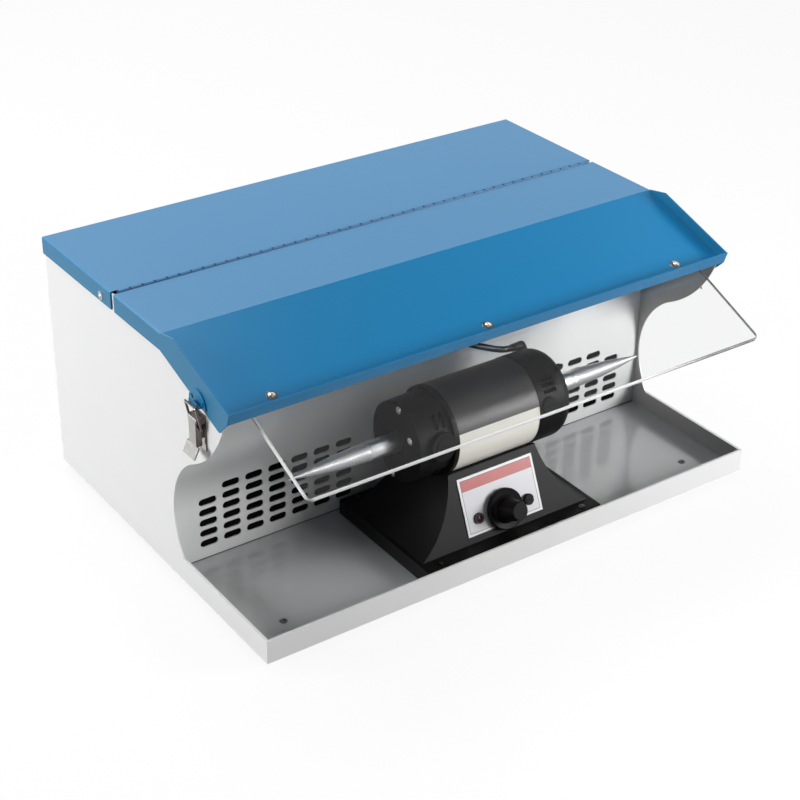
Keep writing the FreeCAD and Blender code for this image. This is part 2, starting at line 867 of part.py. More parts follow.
# Front half of the lid, folded down to the slope and turned up at its edges
def front_lid():
    slope = slab("lid_half", "-slope_length", "-sheet", "slope_length", "sheet")
    screw_holes = [
        rod("z", x, "-shield_screw_run", "-sheet - overrun", "hole_radius", "sheet + 2 * overrun")
        for x in ("-shield_screw_x", "0", "shield_screw_x")
    ]
    lip = slab("lid_half", "-slope_length", "-sheet", "sheet", "sheet + lip_height")
    flat_side = [
        ("fold_y", "cabinet_height"),
        ("fold_y + mitre", "cabinet_height - flange_drop"),
        ("lid_edge_front", "cabinet_height - flange_drop"),
        ("lid_edge_front", "cabinet_height"),
    ]
    slope_side = [
        ("0", "0"),
        ("-wing_run", "lip_height"),
        ("-slope_length", "lip_height"),
        ("-slope_length", "-sheet"),
        ("-slope_length + flange_setback", "-flange_drop"),
        ("-mitre", "-flange_drop"),
    ]
    foot = "cabinet_height - flange_drop"
    flat_length = "lid_edge_front - fold_y"
    outside = common(bent_across("fold_y", flat_length, "0", "sheet + bend_radius", foot),
                     extruded("YZ_Plane", "-lid_half", "2 * lid_half", flat_side))
    inside = bent_across("fold_y - overrun", f"{flat_length} + 2 * overrun", "sheet", "bend_radius",
                         f"{foot} - overrun")
    slope_sides = [extruded("YZ_Plane", x, "sheet", slope_side) for x in ("-lid_half", "lid_half - sheet")]
    sloped = placed(joined(cut(slope, *screw_holes), lip, *slope_sides),
                    y="fold_y", z="cabinet_height", turn="slope_tilt")
    subpart("front_lid", joined(cut(outside, inside), sloped))


# Piano hinge: a leaf with every other knuckle on each lid, and the pin
def hinge_leaf(name, rear, first):
    side = "" if rear else "-"
    pitch = f"hinge_length / {KNUCKLES}"
    body = document.addObject("PartDesign::Body", "Leaf")
    low = "hinge_sink - sheet - leaf_thickness"
    high = "hinge_sink - sheet"
    near = f"{side}(knuckle_radius + fit_gap)"
    far = f"{side}leaf_width"
    leaf = [(near, low), (far, low), (far, high), (near, high)]
    pad(body, outline(body, "YZ_Plane", leaf, "-hinge_length / 2"), "hinge_length")
    start = f"-hinge_length / 2 + {first} * {pitch}"
    tab = [("0", low), (near, low), (near, high), ("0", high)]
    length = f"{pitch} - fit_gap"
    features = [
        pad(body, outline(body, "YZ_Plane", tab, start), length),
        pad(body, circle(body, "YZ_Plane", "0", "0", "knuckle_radius", start), length),
    ]
    pattern = body.newObject("PartDesign::LinearPattern", "Knuckles")
    pattern.Originals = features
    pattern.Direction = (origin_part(body, "X_Axis"), [""])
    pattern.Occurrences = KNUCKLES // 2
    drive(pattern, Length=f"{KNUCKLES - 2} * {pitch}")
    body.Tip = pattern
    bore = rod("x", "-hinge_length / 2 - overrun", "0", "0", "hinge_pin_radius + running_gap",
               "hinge_length + 2 * overrun")
    subpart(name, cut(body, bore), y="hinge_y", z="hinge_z")


def hinge_pin():
    pin = rod("x", "-hinge_length / 2", "0", "0", "hinge_pin_radius", "hinge_length")
    subpart("hinge_pin", pin, y="hinge_y", z="hinge_z")


# Clear shield, hung under the slope by three screws with rubber washers
def shield_and_fixings():
    edge = [
        ("shield_half_width", "0"),
        ("-shield_half_width", "0"),
        ("-shield_half_width", "shield_corner_radius - shield_length", "shield_corner_radius"),
        ("shield_corner_radius - shield_half_width", "-shield_length"),
        ("shield_half_width - shield_corner_radius", "-shield_length", "shield_corner_radius"),
        ("shield_half_width", "shield_corner_radius - shield_length"),
    ]
    plate = extruded("XY_Plane", "-shield_thickness", "shield_thickness", edge)
    screws_x = ("-shield_screw_x", "0", "shield_screw_x")
    holes = [
        rod("z", x, "shield_start - shield_screw_run", "-shield_thickness - overrun",
            "shield_hole_radius", "shield_thickness + 2 * overrun")
        for x in screws_x
    ]
    shield = placed(cut(plate, *holes), y="-shield_start", z="-sheet - shield_touch", turn="shield_extra_tilt")
    on_slope("acrylic_shield", shield)
    washers = []
    screws = []
    for x in screws_x:
        y = "-shield_screw_run"
        washer = pipe("z", x, y, "-sheet - washer_thickness", "washer_radius", "hole_radius", "washer_thickness")
        washers.append(cut(washer, shield))
        screw = aimed(pan_screw("shield_screw_length", "shield_head_radius"), x, y, "0", (0, 0, 1))
        nut = document.addObject("Part::Prism", "Nut")
        nut.Polygon = 6
        drive(nut, Circumradius="nut_radius", Height="nut_height")
        along(nut, "z", x, y, "-shield_screw_length + screw_slack")
        screws.append(joined(screw, cut(nut, shield)))
    on_slope("shield_washers", *washers)
    on_slope("shield_screws", *screws)


# Half-round plates with hooks on the lid's side flanges, which the latches pull on
def lid_hooks():
    def hook(side):
        plate = extruded("YZ_Plane", "0", "sheet", [
            ("-hook_plate_radius", "0"),
            ("hook_plate_radius", "0"),
            ("hook_plate_radius", "hook_plate_skirt", "hook_plate_radius + running_gap / 10"),
            ("-hook_plate_radius", "hook_plate_skirt"),
        ])
        floor = box("0", "-hook_half_width", "0", "hook_reach", "2 * hook_half_width", "sheet")
        lip = box("hook_reach - sheet", "-hook_half_width", "0", "sheet", "2 * hook_half_width", "hook_lip_height")
        rivets = [
            rod("x", "0", f"{way}hook_rivet_y", "hook_rivet_z", "rivet_radius", "sheet + rivet_height")
            for way in ("", "-")
        ]
        way = (side, 0, 0)
        return aimed(joined(plate, floor, lip, *rivets), f"{side} * lid_half", "latch_y",
                     "latch_z + hook_bottom_rise", way)

    subpart("lid_hooks", hook(-1), hook(1))


# Draw latches, drawn on the right side panel and turned half round for the left one
def latch_turn(left):
    return {"turn": "180", "about": "z"} if left else {}


def at_latch(name, left, piece):
    x = "-side_outer" if left else "side_outer"
    subpart(name, piece, x=x, y="latch_y", z="latch_z", **latch_turn(left))


def latch_bases():
    def base(left):
        plate = box("0", "-latch_plate_half_width", "-latch_plate_below", "latch_plate",
                    "2 * latch_plate_half_width", "latch_plate_below + latch_plate_above")
        pieces = [plate]
        for start in ("-lever_half_width - fit_gap - ear_thickness", "lever_half_width + fit_gap"):
            pieces.append(box("0", start, "-latch_barrel_radius", "latch_pivot_out", "ear_thickness",
                              "2 * latch_barrel_radius"))
            pieces.append(rod("y", "latch_pivot_out", start, "0", "latch_barrel_radius", "ear_thickness"))
        pieces.append(rod("y", "latch_pivot_out", "-lever_half_width - fit_gap - ear_thickness", "0",
                          "latch_pin_radius", "2 * (lever_half_width + fit_gap + ear_thickness)"))
        for share in RIVET_SHARES:
            pieces.append(rod("x", "0", "0", f"-latch_plate_below * {share}", "rivet_radius",
                              "latch_plate + rivet_height"))
        x = "-side_outer" if left else "side_outer"
        return placed(joined(*pieces), x, "latch_y", "latch_z", **latch_turn(left))

    subpart("latch_bases", base(True), base(False))


def latch_lever(name, left):
    face_in = "latch_pivot_out + latch_barrel_radius - lever_sheet"
    face_out = "latch_pivot_out + latch_barrel_radius"
    barrel = rod("y", "latch_pivot_out", "-lever_half_width", "0", "latch_barrel_radius", "2 * lever_half_width")
    face = box(face_in, "-lever_half_width", "-lever_length", "lever_sheet", "2 * lever_half_width", "lever_length")
    cheeks = [
        box(f"{face_out} - cheek_depth - lever_sheet", y, "-lever_length", "cheek_depth + lever_sheet",
            "lever_sheet", "lever_length")
        for y in ("-lever_half_width", "lever_half_width - lever_sheet")
    ]
    finger = extruded("XZ_Plane", "-finger_half_width", "2 * finger_half_width", [
        (face_in, "-lever_length"),
        (f"{face_in} + finger_flare", "-lever_length - finger_drop"),
        (f"{face_out} + finger_flare", "-lever_length - finger_drop"),
        (face_out, "-lever_length + lever_sheet"),
        (face_in, "-lever_length + lever_sheet"),
    ])
    bores = [
        rod("y", "latch_pivot_out", "-lever_half_width - overrun", "0", "latch_pin_radius + running_gap",
            "2 * (lever_half_width + overrun)"),
        rod("y", "bail_pivot_out", "-lever_half_width - overrun", "-bail_pivot_drop",
            "bail_wire_radius + running_gap", "2 * (lever_half_width + overrun)"),
    ]
    at_latch(name, left, cut(joined(barrel, face, *cheeks, finger), *bores))


def latch_bail(name, left):
    pieces = []
    for side in ("", "-"):
        start = "-bail_half_width" if side else "bail_half_width - (bail_half_width - lever_half_width + lever_sheet)"
        pieces.append(rod("z", "0", f"{side}bail_half_width", "0", "bail_wire_radius", "bail_height"))
        pieces.append(rod("y", "0", start, "0", "bail_wire_radius",
                          "bail_half_width - lever_half_width + lever_sheet"))
        for z in ("0", "bail_height"):
            pieces.append(ball("0", f"{side}bail_half_width", z, "bail_wire_radius"))
    pieces.append(rod("y", "0", "-bail_half_width", "bail_height", "bail_wire_radius", "2 * bail_half_width"))
    leaning = placed(joined(*pieces), "bail_pivot_out", "0", "-bail_pivot_drop", "bail_tilt", "y")
    at_latch(name, left, leaning)


# Feet and their screws
def feet():
    rubbers = []
    screws = []
    for x in ("-foot_x", "foot_x"):
        for y in ("foot_y", "cabinet_depth - foot_y"):
            foot = rod("z", x, y, "-foot_height", "foot_radius", "foot_height")
            recess = rod("z", x, y, "-foot_height", "foot_recess_radius", "foot_height / 2")
            hole = rod("z", x, y, "-foot_height", "screw_radius", "foot_height")
            rubbers.append(cut(foot, recess, hole))
            head = pan_screw("foot_screw_length", "foot_head_radius")
            screws.append(aimed(head, x, y, "floor_top", (0, 0, 1)))
    subpart("rubber_feet", *rubbers)
    subpart("foot_screws", *screws)


def lid_screws():
    left = aimed(pan_screw("lid_screw_length"), "-lid_half", "lid_screw_y", "lid_screw_z", (-1, 0, 0))
    right = aimed(pan_screw("lid_screw_length"), "lid_half", "lid_screw_y", "lid_screw_z", (1, 0, 0))
    subpart("lid_screws", left, right)


# Filter against the back of the baffle
def filter_pad():
    pad_block = slab("filter_half_width", "fold_y + sheet", "floor_top", "filter_depth", "filter_height")
    subpart("filter_pad", pad_block)


# Suction fan on the rear wall
def suction_fan():
    front = "rear_inside - suction_depth"
    frame = box("suction_x - suction_half_frame", front, "suction_z - suction_half_frame",
                "2 * suction_half_frame", "suction_depth", "2 * suction_half_frame")
    bore = rod("y", "suction_x", front, "suction_z", "suction_bore_radius", "suction_depth")
    corner_holes = []
    for x in ("suction_x - suction_hole_offset", "suction_x + suction_hole_offset"):
        for z in ("suction_z - suction_hole_offset", "suction_z + suction_hole_offset"):
            corner_holes.append(rod("y", x, front, z, "hole_radius", "suction_depth"))
    plate_y = "rear_inside - suction_hub_plate"
    hub = rod("y", "suction_x", plate_y, "suction_z", "suction_hub_radius", "suction_hub_plate")
    shaft = rod("y", "suction_x", f"{front} + 2 * suction_face_gap", "suction_z", "suction_shaft_radius",
                "suction_depth - 2 * suction_face_gap")
    level = box("suction_x - suction_bore_radius", plate_y, "suction_z - suction_strut / 2",
                "2 * suction_bore_radius", "suction_hub_plate", "suction_strut")
    upright = box("suction_x - suction_strut / 2", plate_y, "suction_z - suction_bore_radius",
                  "suction_strut", "suction_hub_plate", "2 * suction_bore_radius")
    subpart("fan_housing", joined(cut(frame, bore, *corner_holes), hub, shaft, level, upright))

    hub_length = "suction_depth - suction_hub_plate - 2 * suction_face_gap"
    blade = placed(
        box("suction_hub_radius - suction_blade", "-suction_blade_chord / 2", "-suction_blade / 2",
            "suction_blade_radius - suction_hub_radius + suction_blade", "suction_blade_chord", "suction_blade"),
        turn="suction_blade_pitch", about="x")
    centred = placed(blade, y=f"({hub_length}) / 2")
    rim = rod("y", "0", "0", "0", "suction_hub_radius", hub_length)
    hole = rod("y", "0", "0", "0", "suction_shaft_radius + running_gap", hub_length)
    wheel = cut(joined(rim, *around(centred, SUCTION_BLADES, "y")), hole)
    subpart("suction_impeller", wheel, x="suction_x", y=f"{front} + suction_face_gap", z="suction_z")


def fan_guard():
    wire = "guard_wire_radius"
    back = f"cabinet_depth + {wire}"
    top = f"cabinet_depth + 3 * {wire} - running_gap"
    hoops = [ring("y", "suction_x", top, "suction_z", f"{count} * guard_ring_step", wire) for count in (1, 2, 3, 4)]
    spread = "4 * guard_ring_step"
    bars = [
        rod("x", f"suction_x - {spread}", back, "suction_z", wire, f"2 * {spread}"),
        rod("z", "suction_x", back, f"suction_z - {spread}", wire, f"2 * {spread}"),
    ]
    for x_side in (-1, 1):
        for z_side in (-1, 1):
            x = f"suction_x + {x_side} * suction_hole_offset"
            z = f"suction_z + {z_side} * suction_hole_offset"
            arm = f"suction_hole_offset * {math.sqrt(2)} - {spread}"
            bars.append(rod((-x_side, 0, -z_side), x, back, z, wire, f"{arm} + {wire}"))
            bars.append(rod("y", x, "cabinet_depth", z, "head_radius", f"2 * {wire}"))
    subpart("fan_guard", joined(*hoops, *bars))


# Mains inlet and its switch in one moulding, and the rocker
def inlet_and_switch():
    flange = box("inlet_x - inlet_half_width", "cabinet_depth", "inlet_z - inlet_half_height",
                 "2 * inlet_half_width", "inlet_flange", "2 * inlet_half_height")
    block = box("inlet_x - inlet_body_half_width", "cabinet_depth - inlet_body_depth",
                "inlet_z - inlet_body_half_height", "2 * inlet_body_half_width", "inlet_body_depth",
                "2 * inlet_body_half_height")
    socket = box("inlet_x - socket_offset - socket_half_width", "inlet_face - socket_depth",
                 "inlet_z - socket_half_height", "2 * socket_half_width", "socket_depth", "2 * socket_half_height")
    pins = [
        box(f"inlet_x - socket_offset + {count} * inlet_pin_pitch - inlet_pin_width / 2",
            "inlet_face - socket_depth - running_gap", f"inlet_z - inlet_pin_height * {1 - abs(count) / 2}",
            "inlet_pin_width", "inlet_pin_length", "inlet_pin_height")
        for count in (-1, 0, 1)
    ]
    bay = box("inlet_x + bay_offset - bay_half_width", "inlet_face - bay_depth", "inlet_z - bay_half_height",
              "2 * bay_half_width", "bay_depth", "2 * bay_half_height")
    pin_half = "bay_half_width - rocker_side_gap + rocker_pin_length"
    pivot_y = "inlet_face - rocker_pivot_depth"
    pin_bore = rod("x", f"inlet_x + bay_offset - ({pin_half}) - fit_gap", pivot_y, "inlet_z",
                   "rocker_pin_radius + running_gap", f"2 * ({pin_half} + fit_gap)")
    subpart("inlet_and_switch_housing", joined(cut(joined(flange, block), socket, bay, pin_bore), *pins))

    profile = [
        ("rocker_crown", "rocker_half_height"),
        ("-rocker_dip", "rocker_half_height"),
        ("-rocker_keel", "rocker_keel_half"),
        ("-rocker_keel", "-rocker_keel_half"),
        ("-rocker_dip", "-rocker_half_height"),
        ("rocker_crown", "-rocker_half_height"),
        ("rocker_crown - rocker_dip", "0"),
    ]
    button = extruded("YZ_Plane", "rocker_side_gap - bay_half_width",
                      "2 * (bay_half_width - rocker_side_gap)", profile)
    pin = rod("x", f"-({pin_half})", "0", "0", "rocker_pin_radius", f"2 * ({pin_half})")
    subpart("switch_rocker", joined(button, pin), x="inlet_x + bay_offset", y=pivot_y, z="inlet_z",
            turn="rocker_tilt")


# Pedestal: a shallow base with a flared body that cradles the motor
def flare_profile(inset, top):
    """Outline of the flared body seen from the front, drawn in by a wall's thickness."""
    low = f"flare_bottom_half - {inset}"
    high = f"flare_top_half - {inset}"
    return [
        (f"-({low})", "base_top - 2 * pedestal_wall"),
        (low, "base_top - 2 * pedestal_wall"),
        (low, "base_top", "-flare_radius"),
        (high, "pedestal_top"),
        (high, top),
        (f"-({high})", top),
        (f"-({high})", "pedestal_top", "-flare_radius"),
        (f"-({low})", "base_top"),
    ]


def flare(inset, wall, top):
    front = extruded("XZ_Plane", "0", "2 * pedestal_y", flare_profile(inset, f"{top} + overrun"))
    low = "base_top - pedestal_wall - running_gap"
    side = extruded("YZ_Plane", "-base_half_width", "2 * base_half_width", [
        (f"face_bottom_y + {wall}", low),
        (f"2 * pedestal_y - face_bottom_y - {wall}", low),
        (f"2 * pedestal_y - face_bottom_y - {wall}", "base_top"),
        (f"2 * pedestal_y - ({face_y(top)}) - {wall}", top),
        (f"{face_y(top)} + {wall}", top),
        (f"face_bottom_y + {wall}", "base_top"),
    ])
    return common(front, side)


def face_holes():
    """Tools for the three holes in the front face."""
    start = "-2 * pedestal_wall"
    through = "4 * pedestal_wall"
    return placed(grouped(
        rod("z", "0", "control_row", start, "pot_bush_radius", through),
        rod("z", "-control_side_x", "control_row", start, "lamp_barrel_radius", through),
        rod("z", "control_side_x", "control_row", start, "fuse_barrel_radius", through),
    ), y="face_bottom_y", z="base_top", turn="face_angle")


def motor_pedestal():
    base = slab("base_half_width", "pedestal_y - base_half_depth", "floor_top", "2 * base_half_depth",
                "base_top - floor_top")
    hollow = slab("base_half_width - pedestal_wall", "pedestal_y - base_half_depth + pedestal_wall",
                  "floor_top - overrun", "2 * (base_half_depth - pedestal_wall)",
                  "base_top - floor_top - pedestal_wall + overrun")
    cavity = flare("pedestal_wall", "face_wall", "motor_z - bell_radius - pedestal_wall")
    cradle = rod("x", "-base_half_width", "pedestal_y", "motor_z", "bell_radius + cradle_gap",
                 "2 * base_half_width")
    shell = cut(joined(base, flare("0", "0", "pedestal_top")), hollow, cavity, cradle, face_holes())
    bosses = []
    holes = []
    for x in ("-pedestal_screw_x", "pedestal_screw_x"):
        for y in ("pedestal_screw_y", "2 * pedestal_y - pedestal_screw_y"):
            bosses.append(rod("z", x, y, "floor_top + bottom_plate", "boss_radius",
                              "base_top - floor_top - bottom_plate"))
            holes.append(rod("z", x, y, "0", "hole_radius", "base_top + overrun"))
    subpart("motor_pedestal", cut(joined(shell, *bosses), *holes))


def pedestal_fixings():
    plate = slab("base_half_width - pedestal_wall", "pedestal_y - base_half_depth + pedestal_wall", "floor_top",
                 "2 * (base_half_depth - pedestal_wall)", "bottom_plate")
    holes = []
    screws = []
    for x in ("-pedestal_screw_x", "pedestal_screw_x"):
        for y in ("pedestal_screw_y", "2 * pedestal_y - pedestal_screw_y"):
            holes.append(rod("z", x, y, "0", "hole_radius", "base_top"))
            head = pan_screw("pedestal_screw_length", "pedestal_head_radius")
            screws.append(aimed(head, x, y, "base_top", (0, 0, 1)))
    subpart("pedestal_bottom_plate", cut(plate, *holes))
    subpart("pedestal_screws", *screws)


def speed_control_board():
    low = "floor_top + bottom_plate"
    start_y = "pedestal_y - board_depth / 2"
    level = f"{low} + board_rise"
    pieces = [slab("board_half_width", start_y, level, "board_depth", "board_thickness")]
    for x in ("board_part_size / 2 - board_half_width", "board_half_width - board_part_size / 2"):
        for y in (f"{start_y} + board_part_size / 2", f"{start_y} + board_depth - board_part_size / 2"):
            pieces.append(rod("z", x, y, low, "board_part_size / 4", "board_rise + board_thickness"))
    top = f"{level} + board_thickness"
    pieces.append(box("-board_part_size", "pedestal_y - board_part_size / 2", top, "2 * board_part_size",
                      "board_part_size", "board_part_size"))
    for x in ("-board_spread", "board_spread"):
        pieces.append(rod("z", x, "pedestal_y", top, "board_part_size / 3", "board_part_height"))
    subpart("speed_control_board", joined(*pieces))


# Control plate with its lamp, fuse and speed knob
def control_plate():
    plate = slab("plate_half_width", "plate_low", "0", "plate_high - plate_low", "plate_thickness")
    holes = [
        rod("z", "0", "control_row", "-overrun", "pot_bush_radius", "plate_thickness + 2 * overrun"),
        rod("z", "-control_side_x", "control_row", "-overrun", "lamp_barrel_radius",
            "plate_thickness + 2 * overrun"),
        rod("z", "control_side_x", "control_row", "-overrun", "fuse_barrel_radius",
            "plate_thickness + 2 * overrun"),
    ]
    on_face("control_plate", cut(plate, *holes))


def face_turned(points, x):
    """A turned piece that stands on the face in the row of controls."""
    return placed(turned(points, "V_Axis"), x, "control_row", "0")


def lamp_and_fuse():
    bezel_top = "plate_thickness + lamp_bezel_height"
    dome = "(lamp_lens_radius ^ 2 + (lamp_bezel_height / 2) ^ 2) / lamp_bezel_height"
    lamp = face_turned([
        ("0", "-lamp_barrel_length"),
        ("lamp_barrel_radius", "-lamp_barrel_length"),
        ("lamp_barrel_radius", "plate_thickness"),
        ("lamp_radius", "plate_thickness"),
        ("lamp_radius", bezel_top),
        ("lamp_lens_radius", bezel_top),
        ("lamp_lens_radius", f"{bezel_top} - lamp_bezel_height / 2", dome),
        ("0", bezel_top),
    ], "-control_side_x")
    on_face("indicator_lamp", lamp)
    cap_top = "plate_thickness + fuse_cap_height"
    fuse = face_turned([
        ("0", "-fuse_barrel_length"),
        ("fuse_barrel_radius", "-fuse_barrel_length"),
        ("fuse_barrel_radius", "plate_thickness"),
        ("fuse_cap_radius", "plate_thickness"),
        ("fuse_cap_radius", f"{cap_top} - coin_slot_width / 2"),
        ("fuse_cap_radius - coin_slot_width / 2", cap_top),
        ("0", cap_top),
    ], "control_side_x")
    slot = box("control_side_x - fuse_cap_radius", "control_row - coin_slot_width / 2",
               f"{cap_top} - coin_slot_width", "2 * fuse_cap_radius", "coin_slot_width", "2 * coin_slot_width")
    on_face("fuse_holder", cut(fuse, slot))


def potentiometer():
    body = rod("z", "0", "control_row", "-pedestal_wall - pot_depth", "pot_radius", "pot_depth")
    bush = rod("z", "0", "control_row", "-pedestal_wall", "pot_bush_radius",
               "pedestal_wall + plate_thickness + pot_bush_length")
    nut = document.addObject("Part::Prism", "Nut")
    nut.Polygon = 6
    drive(nut, Circumradius="pot_nut_radius", Height="pot_nut_height")
    along(nut, "z", "0", "control_row", "plate_thickness")
    shaft_hole = rod("z", "0", "control_row", "-pedestal_wall - pot_shaft_depth",
                     "pot_shaft_radius + running_gap", "pot_shaft_depth + pot_depth")
    on_face("potentiometer", cut(joined(body, bush, nut), shaft_hole))
    shaft = rod("z", "0", "control_row", "running_gap - pedestal_wall - pot_shaft_depth", "pot_shaft_radius",
                "pedestal_wall + pot_shaft_depth + pot_shaft_length")
    on_face("potentiometer_shaft", shaft)


def speed_knob():
    def level(text):
        return f"knob_seat + {text}"

    shaft_top = "pot_shaft_length + running_gap"
    knob = face_turned([
        ("0", shaft_top),
        ("pot_shaft_radius", shaft_top),
        ("pot_shaft_radius", level("knob_recess_depth")),
        ("knob_recess_radius", level("knob_recess_depth")),
        ("knob_recess_radius", "knob_seat"),
        ("knob_skirt_radius", "knob_seat"),
        ("knob_skirt_radius", level("knob_rim_share * knob_skirt_height")),
        ("knob_edge_share * knob_skirt_radius", level("knob_skirt_height")),
        ("knob_dish_radius", level("knob_skirt_height - knob_dish_rise")),
        ("knob_grip_root_radius", level("knob_skirt_height + knob_dish_rise")),
        ("knob_grip_radius", level("knob_height - knob_dish_rise"), "2 * knob_dish_rise"),
        ("knob_grip_radius - knob_dish_rise", level("knob_height")),
        ("0", level("knob_height")),
    ], "0")
    on_face("speed_knob", knob)


# Motor: shell, wrap and end bells
def motor_shell():
    shell = pipe("x", "-shell_half_length", "0", "0", "shell_radius", "shell_radius - shell_wall",
                 "2 * shell_half_length")
    on_motor("motor_shell", shell)
    wrap = ring_sector("-shell_half_length", "2 * shell_half_length", "shell_radius + running_gap",
                       "shell_radius + wrap_thickness", *WRAP_ANGLES)
    on_motor("rating_plate", wrap)


def radial(x, angle, radius, start, end):
    """A rod that points outward from the motor's axis, at an angle from the level front."""
    way = (0, -math.cos(math.radians(angle)), math.sin(math.radians(angle)))
    return rod(way, x, f"({start}) * {way[1]}", f"({start}) * {way[2]}", radius, f"({end}) - ({start})")


def bell_outline(side, end_x, outer):
    """Outline of a bell: its outer edge, then the end wall, the bearing's seat and the bore."""
    seat = f"{end_x} - bell_wall - bearing_width"
    inside = f"{end_x} - bell_wall"
    inner = [
        (end_x, "spindle_hole_radius"),
        (inside, "spindle_hole_radius"),
        (inside, "bearing_radius"),
        (seat, "bearing_radius"),
        (seat, "bearing_radius + boss_wall"),
        (inside, "bearing_radius + boss_wall"),
        (inside, "bell_inner_radius"),
    ]
    return [(f"{side}({point[0]})", *point[1:]) for point in [*outer, *inner]]


def bell_screw_spots(side, end_x):
    """Places of an end face's screws: an upper and a lower pair, each across the axis from its mate."""
    end = "left" if side else "right"
    spots = []
    for y, z in ((f"{end}_screw_side", f"{end}_screw_out"), ("bell_screw_wide", "bell_screw_low")):
        spots.append((f"{side}({end_x})", f"-{y}", z))
        spots.append((f"{side}({end_x})", y, f"-{z}"))
    return spots


def bell_bosses(side, end_x):
    length = "bell_screw_length + fit_gap"
    start = f"-({end_x}) + sheet" if side else f"{end_x} - sheet - ({length})"
    return [rod("x", start, y, z, "bell_boss_radius", length) for _, y, z in bell_screw_spots(side, end_x)]


def bell_bores(side, end_x):
    start = f"-({end_x})" if side else f"{end_x} - bell_screw_length"
    return [rod("x", start, y, z, "screw_radius", "bell_screw_length") for _, y, z in bell_screw_spots(side, end_x)]


def left_end_bell():
    outer = [
        ("shell_half_length", "bell_inner_radius"),
        ("shell_half_length", "bell_radius"),
        ("shell_half_length + left_ring_width", "bell_radius"),
        ("shell_half_length + left_ring_width", "left_cap_radius"),
        ("left_end_x - left_corner", "left_cap_end_radius", "left_corner"),
        ("left_end_x", "left_cap_end_radius - left_corner"),
    ]
    body = turned(bell_outline("-", "left_end_x", outer))
    vents = []
    for rear in (False, True):
        for low in (False, True):
            first, last = LEFT_VENT_ANGLES
            angles = (180 - last, 180 - first) if rear else (first, last)
            angles = (-angles[1], -angles[0]) if low else angles
            for step in (0, 1):
                x = f"-left_vent_x - {step} * left_vent_pitch - vent_width / 2"
                vents.append(ring_sector(x, "vent_width", "bell_inner_radius - overrun",
                                         "bell_radius + overrun", *angles))
    holders = []
    bores = []
    for angle in (LEFT_BRUSH_ANGLE, LEFT_BRUSH_ANGLE + 180):
        x = "-left_brush_x"
        holders.append(radial(x, angle, "brush_pad_radius", "bell_inner_radius", "bell_radius"))
        holders.append(radial(x, angle, "brush_tube_radius", "brush_tube_start", "bell_inner_radius + sheet"))
        bores.append(radial(x, angle, "brush_bore_radius", "brush_tube_start - overrun", "bell_radius"))
        bores.append(radial(x, angle, "brush_cap_radius", "brush_cap_seat", "bell_radius + overrun"))
    vented = cut(joined(body, *bell_bosses("-", "left_end_x")), *vents)
    on_motor("left_end_bell", cut(joined(vented, *holders), *bores, *bell_bores("-", "left_end_x")))


def right_end_bell():
    outer = [
        ("shell_half_length", "bell_inner_radius"),
        ("shell_half_length", "bell_radius"),
        ("right_shoulder_x", "bell_radius", "-right_shoulder_arc"),
        ("right_shoulder_end_x", "right_shoulder_radius"),
        ("right_end_x", "right_face_radius"),
    ]
    body = turned(bell_outline("", "right_end_x", outer))
    vents = []
    for angle in VENT_ANGLES:
        for centre in (angle, 180 - angle):
            vents.append(ring_sector("right_vent_x", "right_vent_length", "bell_inner_radius - overrun",
                                     "bell_radius + overrun", centre - VENT_HALF_ANGLE, centre + VENT_HALF_ANGLE))
    pads = []
    seats = []
    for angle in (RIGHT_BRUSH_ANGLE, RIGHT_BRUSH_ANGLE + 180):
        pads.append(radial("right_brush_x", angle, "brush_cap_radius + sheet", "bell_inner_radius",
                           "bell_radius + sheet / 2"))
        seats.append(radial("right_brush_x", angle, "brush_cap_radius", "brush_cap_seat", "bell_radius + overrun"))
    lug = radial("lug_x", LUG_ANGLE, "lug_radius", "bell_inner_radius", "lug_top")
    vented = cut(joined(body, *bell_bosses("", "right_end_x")), *vents)
    entry = boot_stem("pedestal_y", "motor_z")
    on_motor("right_end_bell",
             cut(joined(vented, *pads, lug), *seats, *bell_bores("", "right_end_x"), entry))


def end_bell_screws():
    screws = []
    for side, end_x in (("-", "left_end_x"), ("", "right_end_x")):
        way = (-1, 0, 0) if side else (1, 0, 0)
        for x, y, z in bell_screw_spots(side, end_x):
            screws.append(aimed(pan_screw("bell_screw_length", "bell_screw_head_radius"), x, y, z, way))
    on_motor("end_bell_screws", *screws)


# Brushes, their springs and their round caps
def brush_gear():
    caps = []
    brushes = []
    springs = []
    for x, first in (("-left_brush_x", LEFT_BRUSH_ANGLE), ("right_brush_x", RIGHT_BRUSH_ANGLE)):
        for angle in (first, first + 180):
            cap = radial(x, angle, "brush_cap_radius", "brush_cap_seat", "brush_cap_top")
            slot = box("-brush_cap_radius", "brush_cap_top - coin_slot_width", "-coin_slot_width / 2",
                       "2 * brush_cap_radius", "2 * coin_slot_width", "coin_slot_width")
            caps.append(cut(cap, placed(placed(slot, turn=str(180 - angle)), x)))
    for angle in (LEFT_BRUSH_ANGLE, LEFT_BRUSH_ANGLE + 180):
        block = box("-brush_size / 2", "commutator_radius + fit_gap", "-brush_size / 2", "brush_size",
                    "brush_end - commutator_radius - fit_gap", "brush_size")
        brushes.append(placed(placed(block, turn=str(180 - angle)), "-left_brush_x"))
        spring = cut(
            radial("-left_brush_x", angle, "brush_spring_radius", "brush_end", "brush_cap_seat"),
            radial("-left_brush_x", angle, "brush_spring_radius - brush_spring_wire", "brush_end",
                   "brush_cap_seat"))
        springs.append(spring)
    on_motor("brush_caps", *caps)
    on_motor("carbon_brushes", *brushes)
    on_motor("brush_springs", *springs)


